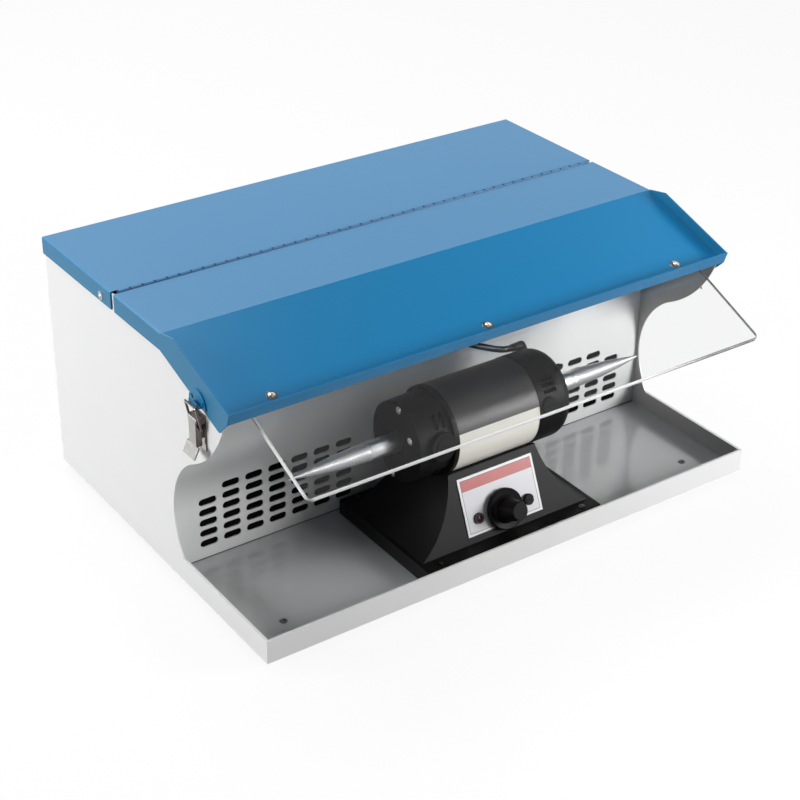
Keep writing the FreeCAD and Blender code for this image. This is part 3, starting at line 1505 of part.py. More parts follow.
# Stator with its two poles and coils
def stator():
    tube = pipe("x", "-stator_half_length", "0", "0", "shell_radius - shell_wall", "stator_inner_radius",
                "2 * stator_half_length")
    pole = box("-stator_half_length", "-pole_half_width", "-stator_inner_radius", "2 * stator_half_length",
               "2 * pole_half_width", "2 * stator_inner_radius")
    bore = rod("x", "-stator_half_length", "0", "0", "pole_radius", "2 * stator_half_length")
    on_motor("stator_core", joined(tube, cut(pole, bore)))
    coils = []
    for z in ("coil_low", "-coil_low - coil_thickness"):
        outside = box("-stator_half_length - coil_end", "-pole_half_width - coil_width", z,
                      "2 * (stator_half_length + coil_end)", "2 * (pole_half_width + coil_width)",
                      "coil_thickness")
        inside = box("-stator_half_length", "-pole_half_width", z, "2 * stator_half_length",
                     "2 * pole_half_width", "coil_thickness")
        coils.append(cut(outside, inside))
    on_motor("field_coils", *coils)


# Bearings in both end bells
def bearings():
    starts = ("-left_bearing_x - bearing_width", "right_bearing_x")
    outer = [pipe("x", x, "0", "0", "bearing_radius", "bearing_outer_bore", "bearing_width") for x in starts]
    inner = [pipe("x", x, "0", "0", "bearing_inner_rim", "shaft_radius", "bearing_width") for x in starts]
    on_motor("bearing_outer_rings", *outer)
    on_motor("bearing_inner_rings", *inner)
    balls = []
    for x in starts:
        one = ball(f"{x} + bearing_width / 2", "0", "(bearing_outer_bore + bearing_inner_rim) / 2", "ball_radius")
        balls.extend(around(one, BEARING_BALLS))
    on_motor("bearing_balls", *balls)


# Rotor
def rotor():
    left_end = "left_end_x - bell_wall + shaft_tail"
    right_end = "right_end_x - bell_wall + shaft_tail"
    shaft = turned([
        (f"-({left_end})", "0"),
        (f"-({left_end})", "shaft_radius"),
        ("-left_bearing_x", "shaft_radius"),
        ("-left_bearing_x", "shaft_core_radius"),
        ("right_bearing_x", "shaft_core_radius"),
        ("right_bearing_x", "shaft_radius"),
        (right_end, "shaft_radius"),
        (right_end, "0"),
    ])
    on_motor("rotor_shaft", shaft)
    drum = pipe("x", "-core_half_length", "0", "0", "core_radius", "shaft_core_radius", "2 * core_half_length")
    slot = box("-core_half_length", "-core_slot_width / 2", "core_radius - core_slot_depth",
               "2 * core_half_length", "core_slot_width", "2 * core_slot_depth")
    on_motor("armature_core", cut(drum, *around(slot, CORE_SLOTS)))
    windings = []
    for side in ("", "-"):
        start = "core_half_length"
        end = "core_half_length + winding_length"
        windings.append(turned([
            (f"{side}{start}", "winding_inner_radius"),
            (f"{side}{start}", "winding_radius"),
            (f"{side}({end} - winding_corner)", "winding_radius", ("-" if not side else "") + "winding_corner"),
            (f"{side}({end})", "winding_radius - winding_corner"),
            (f"{side}({end})", "winding_inner_radius"),
        ]))
    on_motor("armature_windings", *windings)
    brass = pipe("x", "-commutator_start - commutator_length", "0", "0", "commutator_radius",
                 "shaft_core_radius", "commutator_length")
    groove = box("-commutator_start - commutator_length", "-commutator_slot / 2",
                 "commutator_radius - 2 * commutator_slot", "commutator_length", "commutator_slot",
                 "4 * commutator_slot")
    on_motor("commutator", cut(brass, *around(groove, CORE_SLOTS)))
    hub = pipe("x", "fan_start", "0", "0", "fan_hub_radius", "shaft_core_radius", "fan_length")
    disc = pipe("x", "fan_start", "0", "0", "fan_radius", "shaft_core_radius", "fan_blade")
    blade = box("fan_start", "-fan_blade / 2", "fan_hub_radius - fan_blade", "fan_length", "fan_blade",
                "fan_radius - fan_hub_radius")
    on_motor("cooling_fan", joined(hub, disc, *around(blade, FAN_BLADES)))


# Tapered spindles on both ends of the rotor
def spindle(name, side, end_x):
    root = f"{end_x} - bell_wall"
    collar = f"{root} + bell_wall / 2"
    neck = f"{root} + spindle_root_length"
    points = [
        (root, "shaft_radius"),
        (root, "spindle_hub_radius"),
        (collar, "spindle_hub_radius"),
        (collar, "spindle_radius"),
        (neck, "spindle_radius"),
        (neck, "spindle_radius - spindle_step", "spindle_taper_arc" if side else "-spindle_taper_arc"),
        ("spindle_tip_x - spindle_tip_radius", "spindle_tip_radius"),
        ("spindle_tip_x", "0"),
        (f"{root} + shaft_tail", "0"),
        (f"{root} + shaft_tail", "shaft_radius"),
    ]
    on_motor(name, turned([(f"{side}({x})", *sizes) for x, *sizes in points]))


# Motor lead, held by a bush in the baffle and an elbow boot in the right end bell
LEAD_POINTS = (
    (-14.0, 158.0, 172.0),
    (-14.0, 134.0, 172.0),
    (20.0, 108.0, 160.0),
    (53.0, 106.0, 145.8),
    (78.0, 111.8, 141.2),
)
BEND_SHARE = 0.45


def lead_vector(index):
    return FreeCAD.Vector(*LEAD_POINTS[index])


def lead_bends():
    """Radius of the tangent arc at each inner point of the lead's route."""
    radii = []
    for index in range(1, len(LEAD_POINTS) - 1):
        run_in = lead_vector(index) - lead_vector(index - 1)
        run_out = lead_vector(index + 1) - lead_vector(index)
        turn = run_in.getAngle(run_out)
        radii.append(BEND_SHARE * min(run_in.Length, run_out.Length) / math.tan(turn / 2))
    return radii


def lead_route():
    """Straight runs joined by tangent arcs."""
    edges = []
    here = lead_vector(0)
    for index, radius in enumerate(lead_bends(), 1):
        corner = lead_vector(index)
        run_in = (corner - lead_vector(index - 1)).normalize()
        run_out = (lead_vector(index + 1) - corner).normalize()
        turn = run_in.getAngle(run_out)
        setback = radius * math.tan(turn / 2)
        start = corner - run_in * setback
        end = corner + run_out * setback
        inward = (run_out - run_in).normalize()
        middle = corner + inward * (radius / math.cos(turn / 2) - radius)
        edges.append(Part.makeLine(here, start))
        edges.append(Part.Arc(start, middle, end).toShape())
        here = end
    edges.append(Part.makeLine(here, lead_vector(len(LEAD_POINTS) - 1)))
    return Part.Wire(edges)


def boot_aim():
    """Direction of the lead's last run, into its boot."""
    return (lead_vector(len(LEAD_POINTS) - 1) - lead_vector(len(LEAD_POINTS) - 2)).normalize()


def boot_stem(y_from, z_from):
    """Stem of the boot, from its elbow straight in towards the motor's axis."""
    x, y, z = LEAD_POINTS[-1]
    inward = (0, worth("pedestal_y") - y, worth("motor_z") - z)
    return rod(inward, str(x), f"{y} - {y_from}", f"{z} - {z_from}", "boot_radius", "boot_stem")


def motor_lead():
    route = lead_route()
    first = FreeCAD.Vector(*LEAD_POINTS[0])
    section = Part.Wire(Part.makeCircle(worth("lead_radius"), first, lead_vector(1) - first))
    lead = document.addObject("Part::Feature", "Lead")
    sweep = route.makePipeShell([section], True, False)
    lead.Shape = sweep
    subpart("motor_lead", lead)
    print("lead bend radii", [round(radius, 1) for radius in lead_bends()])
    print("lead length", round(route.Length, 1))


def lead_grommets():
    x, _, z = (str(value) for value in LEAD_POINTS[0])
    bore = "lead_radius + running_gap"
    wide = "lead_radius + bush_wall"
    neck = pipe("y", x, "fold_y", z, wide, bore, "sheet")
    front_rim = pipe("y", x, "fold_y - bush_rim_height", z, "lead_radius + bush_rim", bore, "bush_rim_height")
    rear_rim = pipe("y", x, "fold_y + sheet", z, "lead_radius + bush_rim", bore, "bush_rim_height")
    end = [str(value) for value in LEAD_POINTS[-1]]
    backward = tuple(-boot_aim())
    sleeve = document.addObject("Part::Cone", "Sleeve")
    drive(sleeve, Radius1="boot_radius", Radius2="boot_mouth_radius", Height="boot_length")
    along(sleeve, backward, *end)
    elbow = joined(sleeve, ball(*end, "boot_radius"), boot_stem("0", "0"))
    entry = rod(backward, *end, bore, "boot_length")
    subpart("lead_grommets", joined(neck, front_rim, rear_rim), cut(elbow, entry))


side_panel("left_side_panel", True)
side_panel("right_side_panel", False)
floor_tray()
rear_wall()
vented_baffle()
rear_lid()
front_lid()
hinge_leaf("hinge_fixed_leaf", True, 0)
hinge_leaf("hinge_moving_leaf", False, 1)
hinge_pin()
shield_and_fixings()
lid_hooks()
latch_bases()
for prefix, is_left in (("left", True), ("right", False)):
    latch_lever(f"{prefix}_latch_lever", is_left)
    latch_bail(f"{prefix}_latch_bail", is_left)
feet()
lid_screws()
filter_pad()
suction_fan()
fan_guard()
inlet_and_switch()
motor_pedestal()
pedestal_fixings()
speed_control_board()
control_plate()
lamp_and_fuse()
potentiometer()
speed_knob()
motor_shell()
left_end_bell()
right_end_bell()
end_bell_screws()
brush_gear()
stator()
bearings()
rotor()
spindle("left_tapered_spindle", "-", "left_end_x")
spindle("right_tapered_spindle", "", "right_end_x")
motor_lead()
lead_grommets()
document.recompute()

for item in document.Objects:
    if "Invalid" in item.State or "Error" in item.State:
        raise RuntimeError(f"{item.Label} did not build: {item.State}")
os.makedirs("parts", exist_ok=True)
for piece in SUBPARTS:
    shape = piece.Shape
    if shape.isNull() or not shape.isValid() or not shape.Solids:
        raise RuntimeError(f"{piece.Label} is not a sound solid")
    shape.exportStep(f"parts/{piece.Label}.step")
print(len(SUBPARTS), "sub-parts")
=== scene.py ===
import math
import bpy
import numpy as np
from mathutils import Matrix, Vector


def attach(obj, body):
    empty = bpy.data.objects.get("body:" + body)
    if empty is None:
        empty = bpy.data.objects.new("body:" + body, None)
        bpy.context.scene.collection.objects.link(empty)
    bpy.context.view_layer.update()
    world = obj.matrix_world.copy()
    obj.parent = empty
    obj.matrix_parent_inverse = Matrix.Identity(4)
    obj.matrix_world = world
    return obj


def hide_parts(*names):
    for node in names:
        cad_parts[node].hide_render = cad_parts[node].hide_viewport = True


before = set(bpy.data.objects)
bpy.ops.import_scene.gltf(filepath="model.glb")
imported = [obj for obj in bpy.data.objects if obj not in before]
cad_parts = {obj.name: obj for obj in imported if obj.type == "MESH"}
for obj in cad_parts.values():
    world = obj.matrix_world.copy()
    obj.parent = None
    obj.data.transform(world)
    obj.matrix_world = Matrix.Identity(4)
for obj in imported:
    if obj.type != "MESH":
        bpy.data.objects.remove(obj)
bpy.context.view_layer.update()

# Camera and studio.
# The lathe is seen from its left front corner, a little above, through a long lens. A pale floor and a
# white surround are lit by four soft lamps: one low at the right front, a weak one high above the front,
# one at the left and one above the rear.
EYE = Vector((-0.85160, -1.19009, 0.93068))
HEADING = 0.60552
DIP = 0.48227
ROLL = 0.00728

ahead = Vector((math.sin(HEADING) * math.cos(DIP), math.cos(HEADING) * math.cos(DIP), -math.sin(DIP)))
level = Vector((math.cos(HEADING), -math.sin(HEADING), 0.0))
upright = level.cross(ahead)
across = level * math.cos(ROLL) + upright * math.sin(ROLL)
upward = upright * math.cos(ROLL) - level * math.sin(ROLL)
lens = bpy.data.cameras.new("view")
lens.sensor_width = 36.0
lens.lens = 80.80
lens.shift_x = 0.01875
lens.shift_y = -0.09375
lens.clip_start = 0.05
viewer = bpy.data.objects.new("view", lens)
turn = Matrix((across, upward, -ahead)).transposed().to_4x4()
viewer.matrix_world = Matrix.Translation(EYE) @ turn
bpy.context.scene.collection.objects.link(viewer)
bpy.context.scene.camera = viewer
bpy.context.scene.view_settings.view_transform = "Standard"


def lamp(name, place, aim, width, height, power):
    """A soft rectangular lamp that faces a point, in metres and watts."""
    light = bpy.data.lights.new(name, "AREA")
    light.shape = "RECTANGLE"
    light.size = width
    light.size_y = height
    light.energy = power
    holder = bpy.data.objects.new(name, light)
    towards = (Vector(aim) - Vector(place)).to_track_quat("-Z", "Y")
    holder.matrix_world = Matrix.Translation(Vector(place)) @ towards.to_matrix().to_4x4()
    bpy.context.scene.collection.objects.link(holder)


lamp("front_lamp", place=(0.90, -1.04, 0.50), aim=(0.0, -0.02, 0.1), width=0.6, height=0.5, power=20.0)
lamp("high_lamp", place=(0.5, -1.0, 2.2), aim=(0.1, -0.05, 0.1), width=1.4, height=1.0, power=3.5)
lamp("left_lamp", place=(-2.4, 1.2, 0.8), aim=(-0.25, 0.0, 0.12), width=1.2, height=1.0, power=66.0)
lamp("top_lamp", place=(-0.2, 1.3, 2.2), aim=(0.0, 0.0, 0.15), width=1.6, height=1.2, power=38.0)


class Value:
    """A shader socket that takes part in sums: each operator adds its Math node."""

    def __init__(self, paint, socket):
        self.paint = paint
        self.socket = socket

    def worked(self, operation, first, second=0.0):
        return self.paint.node("ShaderNodeMath", {"operation": operation}, {0: first, 1: second})

    def __add__(self, other):
        return self.worked("ADD", self, other)

    def __sub__(self, other):
        return self.worked("SUBTRACT", self, other)

    def __rsub__(self, other):
        return self.worked("SUBTRACT", other, self)

    def __mul__(self, other):
        return self.worked("MULTIPLY", self, other)

    def __truediv__(self, other):
        return self.worked("DIVIDE", self, other)

    def __abs__(self):
        return self.worked("ABSOLUTE", self)

    def above(self, edge):
        return self.worked("GREATER_THAN", self, edge)

    def below(self, edge):
        return self.worked("LESS_THAN", self, edge)

    def least(self, other):
        return self.worked("MINIMUM", self, other)

    def most(self, other):
        return self.worked("MAXIMUM", self, other)

    __radd__ = __add__
    __rmul__ = __mul__


class Paint:
    """A finish: a material whose nodes are added one at a time."""

    def __init__(self, name, **fixed):
        self.material = bpy.data.materials.new(name)
        self.material.use_nodes = True
        self.tree = self.material.node_tree
        self.shader = self.tree.nodes["Principled BSDF"]
        self.output = self.tree.nodes["Material Output"]
        for socket, value in fixed.items():
            self.shader.inputs[socket.replace("_", " ")].default_value = value

    def node(self, kind, settings=None, sockets=None, out=0):
        """A node with its settings made first, then the values or links of its sockets."""
        made = self.tree.nodes.new(kind)
        for name, value in (settings or {}).items():
            if name == "stops":
                ramp = made.color_ramp.elements
                while len(ramp) < len(value):
                    ramp.new(0.5)
                for stop, (place, colour) in zip(ramp, value):
                    stop.position = place
                    stop.color = colour if isinstance(colour, tuple) else (colour, colour, colour, 1.0)
            else:
                setattr(made, name, value)
        for socket, value in (sockets or {}).items():
            target = made.inputs[socket]
            if isinstance(value, Value):
                self.tree.links.new(value.socket, target)
            else:
                target.default_value = value
        return Value(self, made.outputs[out])

    def place(self):
        """The point's place in the object's own frame, in metres."""
        return self.node("ShaderNodeTexCoord", out="Object")

    def part(self, axis):
        """One of x, y and z of the point's place."""
        return self.node("ShaderNodeSeparateXYZ", sockets={0: self.place()}, out="XYZ".index(axis.upper()))

    def along(self, direction):
        """How far the point lies along a direction."""
        return self.node("ShaderNodeVectorMath", {"operation": "DOT_PRODUCT"},
                         {0: self.place(), 1: direction}, out="Value")

    def true_normal(self):
        """The face's own normal in the studio's frame, without the blending over bends."""
        return self.node("ShaderNodeNewGeometry", out="True Normal")

    def facing(self, direction):
        """How squarely the surface faces a direction of the object's own frame."""
        normal = self.node("ShaderNodeVectorTransform", {
            "vector_type": "NORMAL", "convert_from": "WORLD", "convert_to": "OBJECT",
        }, {0: self.true_normal()})
        return self.node("ShaderNodeVectorMath", {"operation": "DOT_PRODUCT"},
                         {0: normal, 1: direction}, out="Value")

    def noise(self, grain, detail=2.0, rough=0.5, stretch=None):
        """Soft noise whose lumps are about a grain across, in metres."""
        where = self.place()
        if stretch:
            where = self.node("ShaderNodeMapping", sockets={"Vector": where, "Scale": stretch})
        return self.node("ShaderNodeTexNoise", sockets={
            "Vector": where, "Scale": 1.0 / grain, "Detail": detail, "Roughness": rough})

    def ramp(self, factor, stops):
        return self.node("ShaderNodeValToRGB", {"stops": stops}, {"Fac": factor})

    def mixed(self, factor, first, second):
        """A colour between two, by a factor."""
        return self.node("ShaderNodeMix", {"data_type": "RGBA"}, {0: factor, 6: first, 7: second}, out=2)

    def put(self, **sockets):
        """Feed the finish's own sockets."""
        for socket, value in sockets.items():
            target = self.shader.inputs[socket.replace("_", " ")]
            if isinstance(value, Value):
                self.tree.links.new(value.socket, target)
            else:
                target.default_value = value

    def bump(self, height, depth, flat=False):
        """Raise the surface by a height of 0 to 1, up to a depth in metres."""
        sockets = {"Height": height, "Distance": depth}
        if flat:
            sockets["Normal"] = self.true_normal()
        self.put(Normal=self.node("ShaderNodeBump", sockets=sockets))


def shade(red, green, blue):
    """A colour written as a screen shows it, turned to light values by the screen's usual curve."""
    parts = (red, green, blue)
    return (*[((part / 255 + 0.055) / 1.055) ** 2.4 if part > 10 else part / 3295 for part in parts], 1.0)


def dress(paint, *names):
    """Give CAD nodes a finish."""
    for name in names:
        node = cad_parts[name]
        if not node.material_slots:
            node.data.materials.append(paint.material)
        for slot in node.material_slots:
            slot.material = paint.material


surround = bpy.data.worlds.new("surround")
surround.use_nodes = True
bpy.context.scene.world = surround

DOME_WHITE_TO = 0.60
DOME_DIM_FROM = 0.72
DOME_DIM = 0.07
CLEAR_OVERHEAD = 0.5
FILL = 0.02


def surround_light():
    """White behind the object and in its reflections, dimmer overhead, and a weak even fill."""
    nodes = surround.node_tree.nodes
    links = surround.node_tree.links
    sky = nodes["Background"]
    rays = nodes.new("ShaderNodeLightPath")
    seen = nodes.new("ShaderNodeMath")
    seen.operation = "MAXIMUM"
    links.new(rays.outputs["Is Camera Ray"], seen.inputs[0])
    links.new(rays.outputs["Is Transmission Ray"], seen.inputs[1])
    unscattered = nodes.new("ShaderNodeMath")
    unscattered.operation = "LESS_THAN"
    unscattered.inputs[1].default_value = 0.5
    links.new(rays.outputs["Diffuse Depth"], unscattered.inputs[0])
    direct = nodes.new("ShaderNodeMath")
    direct.operation = "MULTIPLY"
    links.new(seen.outputs[0], direct.inputs[0])
    links.new(unscattered.outputs[0], direct.inputs[1])
    way = nodes.new("ShaderNodeTexCoord")
    split = nodes.new("ShaderNodeSeparateXYZ")
    links.new(way.outputs["Generated"], split.inputs[0])
    dome = nodes.new("ShaderNodeValToRGB")
    dome.color_ramp.elements[0].position = DOME_WHITE_TO
    dome.color_ramp.elements[0].color = (1.0, 1.0, 1.0, 1.0)
    dome.color_ramp.elements[1].position = DOME_DIM_FROM
    dome.color_ramp.elements[1].color = (DOME_DIM, DOME_DIM, DOME_DIM, 1.0)
    links.new(split.outputs["Z"], dome.inputs["Fac"])
    glossy = nodes.new("ShaderNodeMix")
    glossy.inputs["A"].default_value = FILL
    links.new(rays.outputs["Is Glossy Ray"], glossy.inputs["Factor"])
    links.new(dome.outputs["Color"], glossy.inputs["B"])
    overhead = nodes.new("ShaderNodeMath")
    overhead.operation = "LESS_THAN"
    overhead.inputs[1].default_value = DOME_DIM_FROM
    links.new(split.outputs["Z"], overhead.inputs[0])
    above = nodes.new("ShaderNodeMix")
    above.inputs["A"].default_value = CLEAR_OVERHEAD
    above.inputs["B"].default_value = 1.0
    links.new(overhead.outputs[0], above.inputs["Factor"])
    strength = nodes.new("ShaderNodeMix")
    links.new(above.outputs["Result"], strength.inputs["B"])
    links.new(direct.outputs[0], strength.inputs["Factor"])
    links.new(glossy.outputs["Result"], strength.inputs["A"])
    links.new(strength.outputs["Result"], sky.inputs["Strength"])
    sky.inputs["Color"].default_value = (1.0, 1.0, 1.0, 1.0)


surround_light()

floor_mesh = bpy.data.meshes.new("studio_floor")
REACH = 6.0
SEEN_GLOW = 0.9
MIRRORED_GLOW = 0.3
floor_mesh.from_pydata([(-REACH, -REACH, 0), (REACH, -REACH, 0), (REACH, REACH, 0), (-REACH, REACH, 0)], [],
                       [(0, 1, 2, 3)])
studio_floor = bpy.data.objects.new("studio_floor", floor_mesh)
bpy.context.scene.collection.objects.link(studio_floor)
floor_paint = Paint("studio_floor", Roughness=1.0, Specular_IOR_Level=0.0)
glow = floor_paint.node("ShaderNodeEmission", sockets={"Color": (1.0, 1.0, 1.0, 1.0), "Strength": 1.0})
camera_ray = floor_paint.node("ShaderNodeLightPath", out="Is Camera Ray")
glossy_ray = floor_paint.node("ShaderNodeLightPath", out="Is Glossy Ray")
clear_ray = floor_paint.node("ShaderNodeLightPath", out="Is Transmission Ray")
unscattered = floor_paint.node("ShaderNodeLightPath", out="Diffuse Depth").below(0.5)
seen = camera_ray.most(clear_ray) * unscattered
seen_share = seen * SEEN_GLOW + glossy_ray * unscattered * (1 - seen) * MIRRORED_GLOW
floor_paint.put(Base_Color=floor_paint.mixed(seen, (0.35, 0.35, 0.35, 1.0), (0.95, 0.95, 0.95, 1.0)))
blend = floor_paint.node("ShaderNodeMixShader", sockets={
    0: seen_share, 1: Value(floor_paint, floor_paint.shader.outputs[0]), 2: glow})
floor_paint.tree.links.new(blend.socket, floor_paint.output.inputs["Surface"])
floor_mesh.materials.append(floor_paint.material)

# White cabinet: two side panels and the rear wall, then the slotted baffle and the tray.
# They are cut and folded from thin steel sheet, welded at the flanges and powder coated in one white coat,
# which has a fine orange peel and a soft gloss. The panels' inner faces are painted darker, as painted
# shade.
WHITE = shade(233, 233, 232)
WHITE_CLOUD = shade(227, 228, 228)
HALF_TURNED = 0.5
INWARD = -0.2
white_coat = Paint("white_coat", Roughness=0.36, IOR=1.48)
cloud = white_coat.noise(0.09, detail=3.0)
peel = white_coat.noise(0.0011, detail=2.0)
# Painted shade: the side panels' inner faces, turned towards the middle, get a darker colour.
inner_face_shade = (white_coat.part("x") * white_coat.facing((1.0, 0.0, 0.0))).below(INWARD)
outer_white = white_coat.mixed(cloud, WHITE, WHITE_CLOUD)
white_coat.put(
    Base_Color=white_coat.mixed(inner_face_shade, outer_white, shade(176, 175, 173)),
    Roughness=0.31 + cloud * 0.1)
white_coat.bump(peel, 0.000004)
dress(white_coat, "left_side_panel", "right_side_panel", "rear_wall")

# The slotted baffle between the work space and the suction chamber has the same coat.
# Its foot is painted greyer towards the tray as painted shade, and a dark line is painted as shade where it
# stands on the tray.
BAFFLE_FOOT = 0.0104
FOOT_SHADE_HEIGHT = 0.055
JOINT_SHADE_HEIGHT = 0.0011
baffle_coat = Paint("baffle_coat", Roughness=0.36, IOR=1.48)
# Painted shade: darker towards the foot, and a dark line at the joint with the tray.
above_foot = baffle_coat.part("z") - BAFFLE_FOOT
foot_shade = (1 - above_foot / FOOT_SHADE_HEIGHT).most(0.0) * 0.8
baffle_white = baffle_coat.mixed(baffle_coat.noise(0.09, detail=3.0), WHITE, WHITE_CLOUD)
baffle_shaded = baffle_coat.mixed(foot_shade, baffle_white, shade(178, 179, 179))
baffle_coat.put(
    Base_Color=baffle_coat.mixed(above_foot.below(JOINT_SHADE_HEIGHT), baffle_shaded, shade(70, 70, 70)),
    Roughness=0.34 + foot_shade * 0.2)
dress(baffle_coat, "vented_baffle")

# The tray under the motor is wiped often, which leaves its floor glossier.
# Inside its walls the floor and the side walls' inner faces are painted darker, as painted shade.
TRAY_FRONT = -0.17831424
TRAY_HALF = 0.265
TRAY_SHEET = 0.0016
tray_coat = Paint("tray_coat", Roughness=0.36, IOR=1.8)
# Painted shade: the floor inside the walls and the side walls' inner faces are greyer.
from_wall = (TRAY_HALF - abs(tray_coat.part("x"))).least(tray_coat.part("y") - TRAY_FRONT)
wiped_and_shaded_floor = from_wall.above(TRAY_SHEET) * tray_coat.facing((0.0, 0.0, 1.0)).above(HALF_TURNED)
side_wall_shade = (tray_coat.part("x") * tray_coat.facing((1.0, 0.0, 0.0))).below(INWARD)
tray_cloud = tray_coat.noise(0.09, detail=3.0)
tray_outside = tray_coat.mixed(tray_cloud, WHITE, WHITE_CLOUD)
tray_white = tray_coat.mixed(side_wall_shade, tray_outside, shade(160, 159, 157))
floor_shade_grey = tray_coat.mixed(tray_cloud, shade(181, 183, 183), shade(173, 175, 176))
tray_coat.put(
    Base_Color=tray_coat.mixed(wiped_and_shaded_floor, tray_white, floor_shade_grey),
    Roughness=0.33 - wiped_and_shaded_floor * 0.19)
dress(tray_coat, "floor_tray")

# Rubber feet under the tray, and the small pan-head screws that hold the sheets together.
# The feet are moulded black rubber with a recess for the screw; the screws are nickel plated.
rubber = Paint("foot_rubber", Roughness=0.75)
rubber.put(
    Base_Color=rubber.mixed(rubber.noise(0.004), (0.028, 0.028, 0.029, 1.0), (0.042, 0.042, 0.042, 1.0)))
rubber.bump(rubber.noise(0.0007), 0.00006)
dress(rubber, "rubber_feet", "shield_washers")

nickel = Paint("nickel_plate", Metallic=1.0, Roughness=0.16)
nickel.put(
    Base_Color=nickel.mixed(nickel.noise(0.003), (0.83, 0.82, 0.80, 1.0), (0.72, 0.71, 0.69, 1.0)),
    Roughness=0.12 + nickel.noise(0.0012) * 0.14)
dress(nickel, "lid_screws", "shield_screws", "end_bell_screws")

dull_zinc = Paint("dull_zinc", Metallic=1.0, Roughness=0.45)
dull_zinc.put(
    Base_Color=dull_zinc.mixed(dull_zinc.noise(0.0015), (0.10, 0.10, 0.10, 1.0), (0.24, 0.24, 0.24, 1.0)))
dress(dull_zinc, "foot_screws")

black_oxide = Paint("black_oxide", Metallic=1.0, Roughness=0.25)
black_oxide.put(
    Base_Color=black_oxide.mixed(black_oxide.noise(0.002), (0.05, 0.05, 0.05, 1.0), (0.10, 0.10, 0.10, 1.0)))
dress(black_oxide, "pedestal_screws")

# Lid in two halves, folded from sheet, and the piano hinge that joins them.
# Both are sprayed the same blue powder coat, with a fine texture that spreads its highlights. The folded
# flanges and the front lip are painted a darker blue, as painted shade.
BLUE = (0.004, 0.208, 0.460, 1.0)
blue_coat = Paint("blue_coat", Roughness=0.3, IOR=1.68)
tone = blue_coat.noise(0.12, detail=3.0)
grit = blue_coat.noise(0.0009, detail=3.0, rough=0.6)
# Painted shade: the flanges and the front lip get a darker blue.
on_flange = blue_coat.facing((0.0, 0.0, 1.0)).below(HALF_TURNED)
on_lip = blue_coat.facing((0.0, -1.0, 0.0)).above(HALF_TURNED)
flange_shade_blue = blue_coat.mixed(on_lip, (0.002, 0.165, 0.330, 1.0), (0.001, 0.135, 0.300, 1.0))
blue_coat.put(
    Base_Color=blue_coat.mixed(
        on_flange, blue_coat.mixed(tone, BLUE, (0.005, 0.218, 0.475, 1.0)), flange_shade_blue),
    Roughness=0.25 + grit * 0.1 + on_lip * 0.4)
blue_coat.bump(grit, 0.000008, flat=True)
dress(blue_coat, "rear_lid", "front_lid", "lid_hooks")

# The hinge is painted dark blue as shade, with a painted highlight on the upper crown of each knuckle, at
# one pitch from end to end.
HINGE_Y = 0.06418576
HINGE_Z = 0.2443
KNUCKLE_RADIUS = 0.0021
KNUCKLE_PITCH = 0.011864
KNUCKLE_START = 0.261
KNUCKLE_GAP = 0.0008
KNUCKLE_CROWN = 0.8
hinge_coat = Paint("hinge_coat", Roughness=0.4)
knuckle = hinge_coat.node("ShaderNodeMath", {"operation": "PINGPONG"}, {
    0: hinge_coat.part("x") + KNUCKLE_START, 1: KNUCKLE_PITCH / 2})
hinge_y = hinge_coat.part("y") - HINGE_Y
on_knuckle = abs(hinge_y).below(KNUCKLE_RADIUS * KNUCKLE_CROWN) * knuckle.above(KNUCKLE_GAP)
# Painted highlight on each knuckle's upper crown, over a dark blue painted as shade.
knuckle_highlight = on_knuckle * hinge_coat.part("z").above(HINGE_Z)
highlight_tint = hinge_coat.mixed(hinge_coat.noise(0.02), shade(52, 128, 180), shade(64, 138, 188))
hinge_coat.put(Base_Color=hinge_coat.mixed(knuckle_highlight, shade(4, 44, 96), highlight_tint))
dress(hinge_coat, "hinge_fixed_leaf", "hinge_moving_leaf")

steel = Paint("drawn_steel", Metallic=1.0, Roughness=0.3)
steel.put(
    Base_Color=steel.mixed(steel.noise(0.004), (0.55, 0.55, 0.55, 1.0), (0.66, 0.66, 0.66, 1.0)),
    Roughness=0.24 + steel.noise(0.0006, stretch=(0.1, 1.0, 1.0)) * 0.2)
dress(steel, "hinge_pin", "rotor_shaft", "bearing_outer_rings", "bearing_inner_rings", "bearing_balls",
      "brush_springs", "potentiometer_shaft")

# Clear shield: a sheet of 3 mm acrylic hung under the sloping lid.
# It is laser cut, so its edges are polished; they carry a painted white highlight that turns to a painted
# dark reflection at the right end. Its lower corners are rounded.
SLOPE = math.radians(18.35)
SHIELD_TILT = math.radians(18.35 + 5.25)
FOLD_Y = -0.02331424
FOLD_Z = 0.245
SHIELD_START = 0.080
SHIELD_SINK = 0.00135
SHIELD_HALF = 0.241
SHIELD_LENGTH = 0.117
SHIELD_THICK = 0.003
SHIELD_CORNER = 0.007
SHIELD_BEVEL = 0.00035
SHIELD_GLOW = 0.0016
SHIELD_SCREWS = (-0.217, 0.0, 0.217)
SHIELD_HOLE = 0.0026
SHIELD_HOLE_Y = -0.0168
CORNER_STEPS = 9
HOLE_STEPS = 24
EDGE_DARK_FROM = 0.11
EDGE_DARK_OVER = 0.07
EDGE_FACING = 0.9
EDGE_SHARE = 0.78


def to_shield(points):
    """Shield's own x, y and z turned down under the slope and set at its place."""
    x, y, z = points[..., 0], points[..., 1], points[..., 2]
    start_y = FOLD_Y - SHIELD_START * math.cos(SLOPE) + SHIELD_SINK * math.sin(SLOPE)
    start_z = FOLD_Z - SHIELD_START * math.sin(SLOPE) - SHIELD_SINK * math.cos(SLOPE)
    return np.stack([
        x,
        start_y + y * math.cos(SHIELD_TILT) - z * math.sin(SHIELD_TILT),
        start_z + y * math.sin(SHIELD_TILT) + z * math.cos(SHIELD_TILT)], axis=-1)


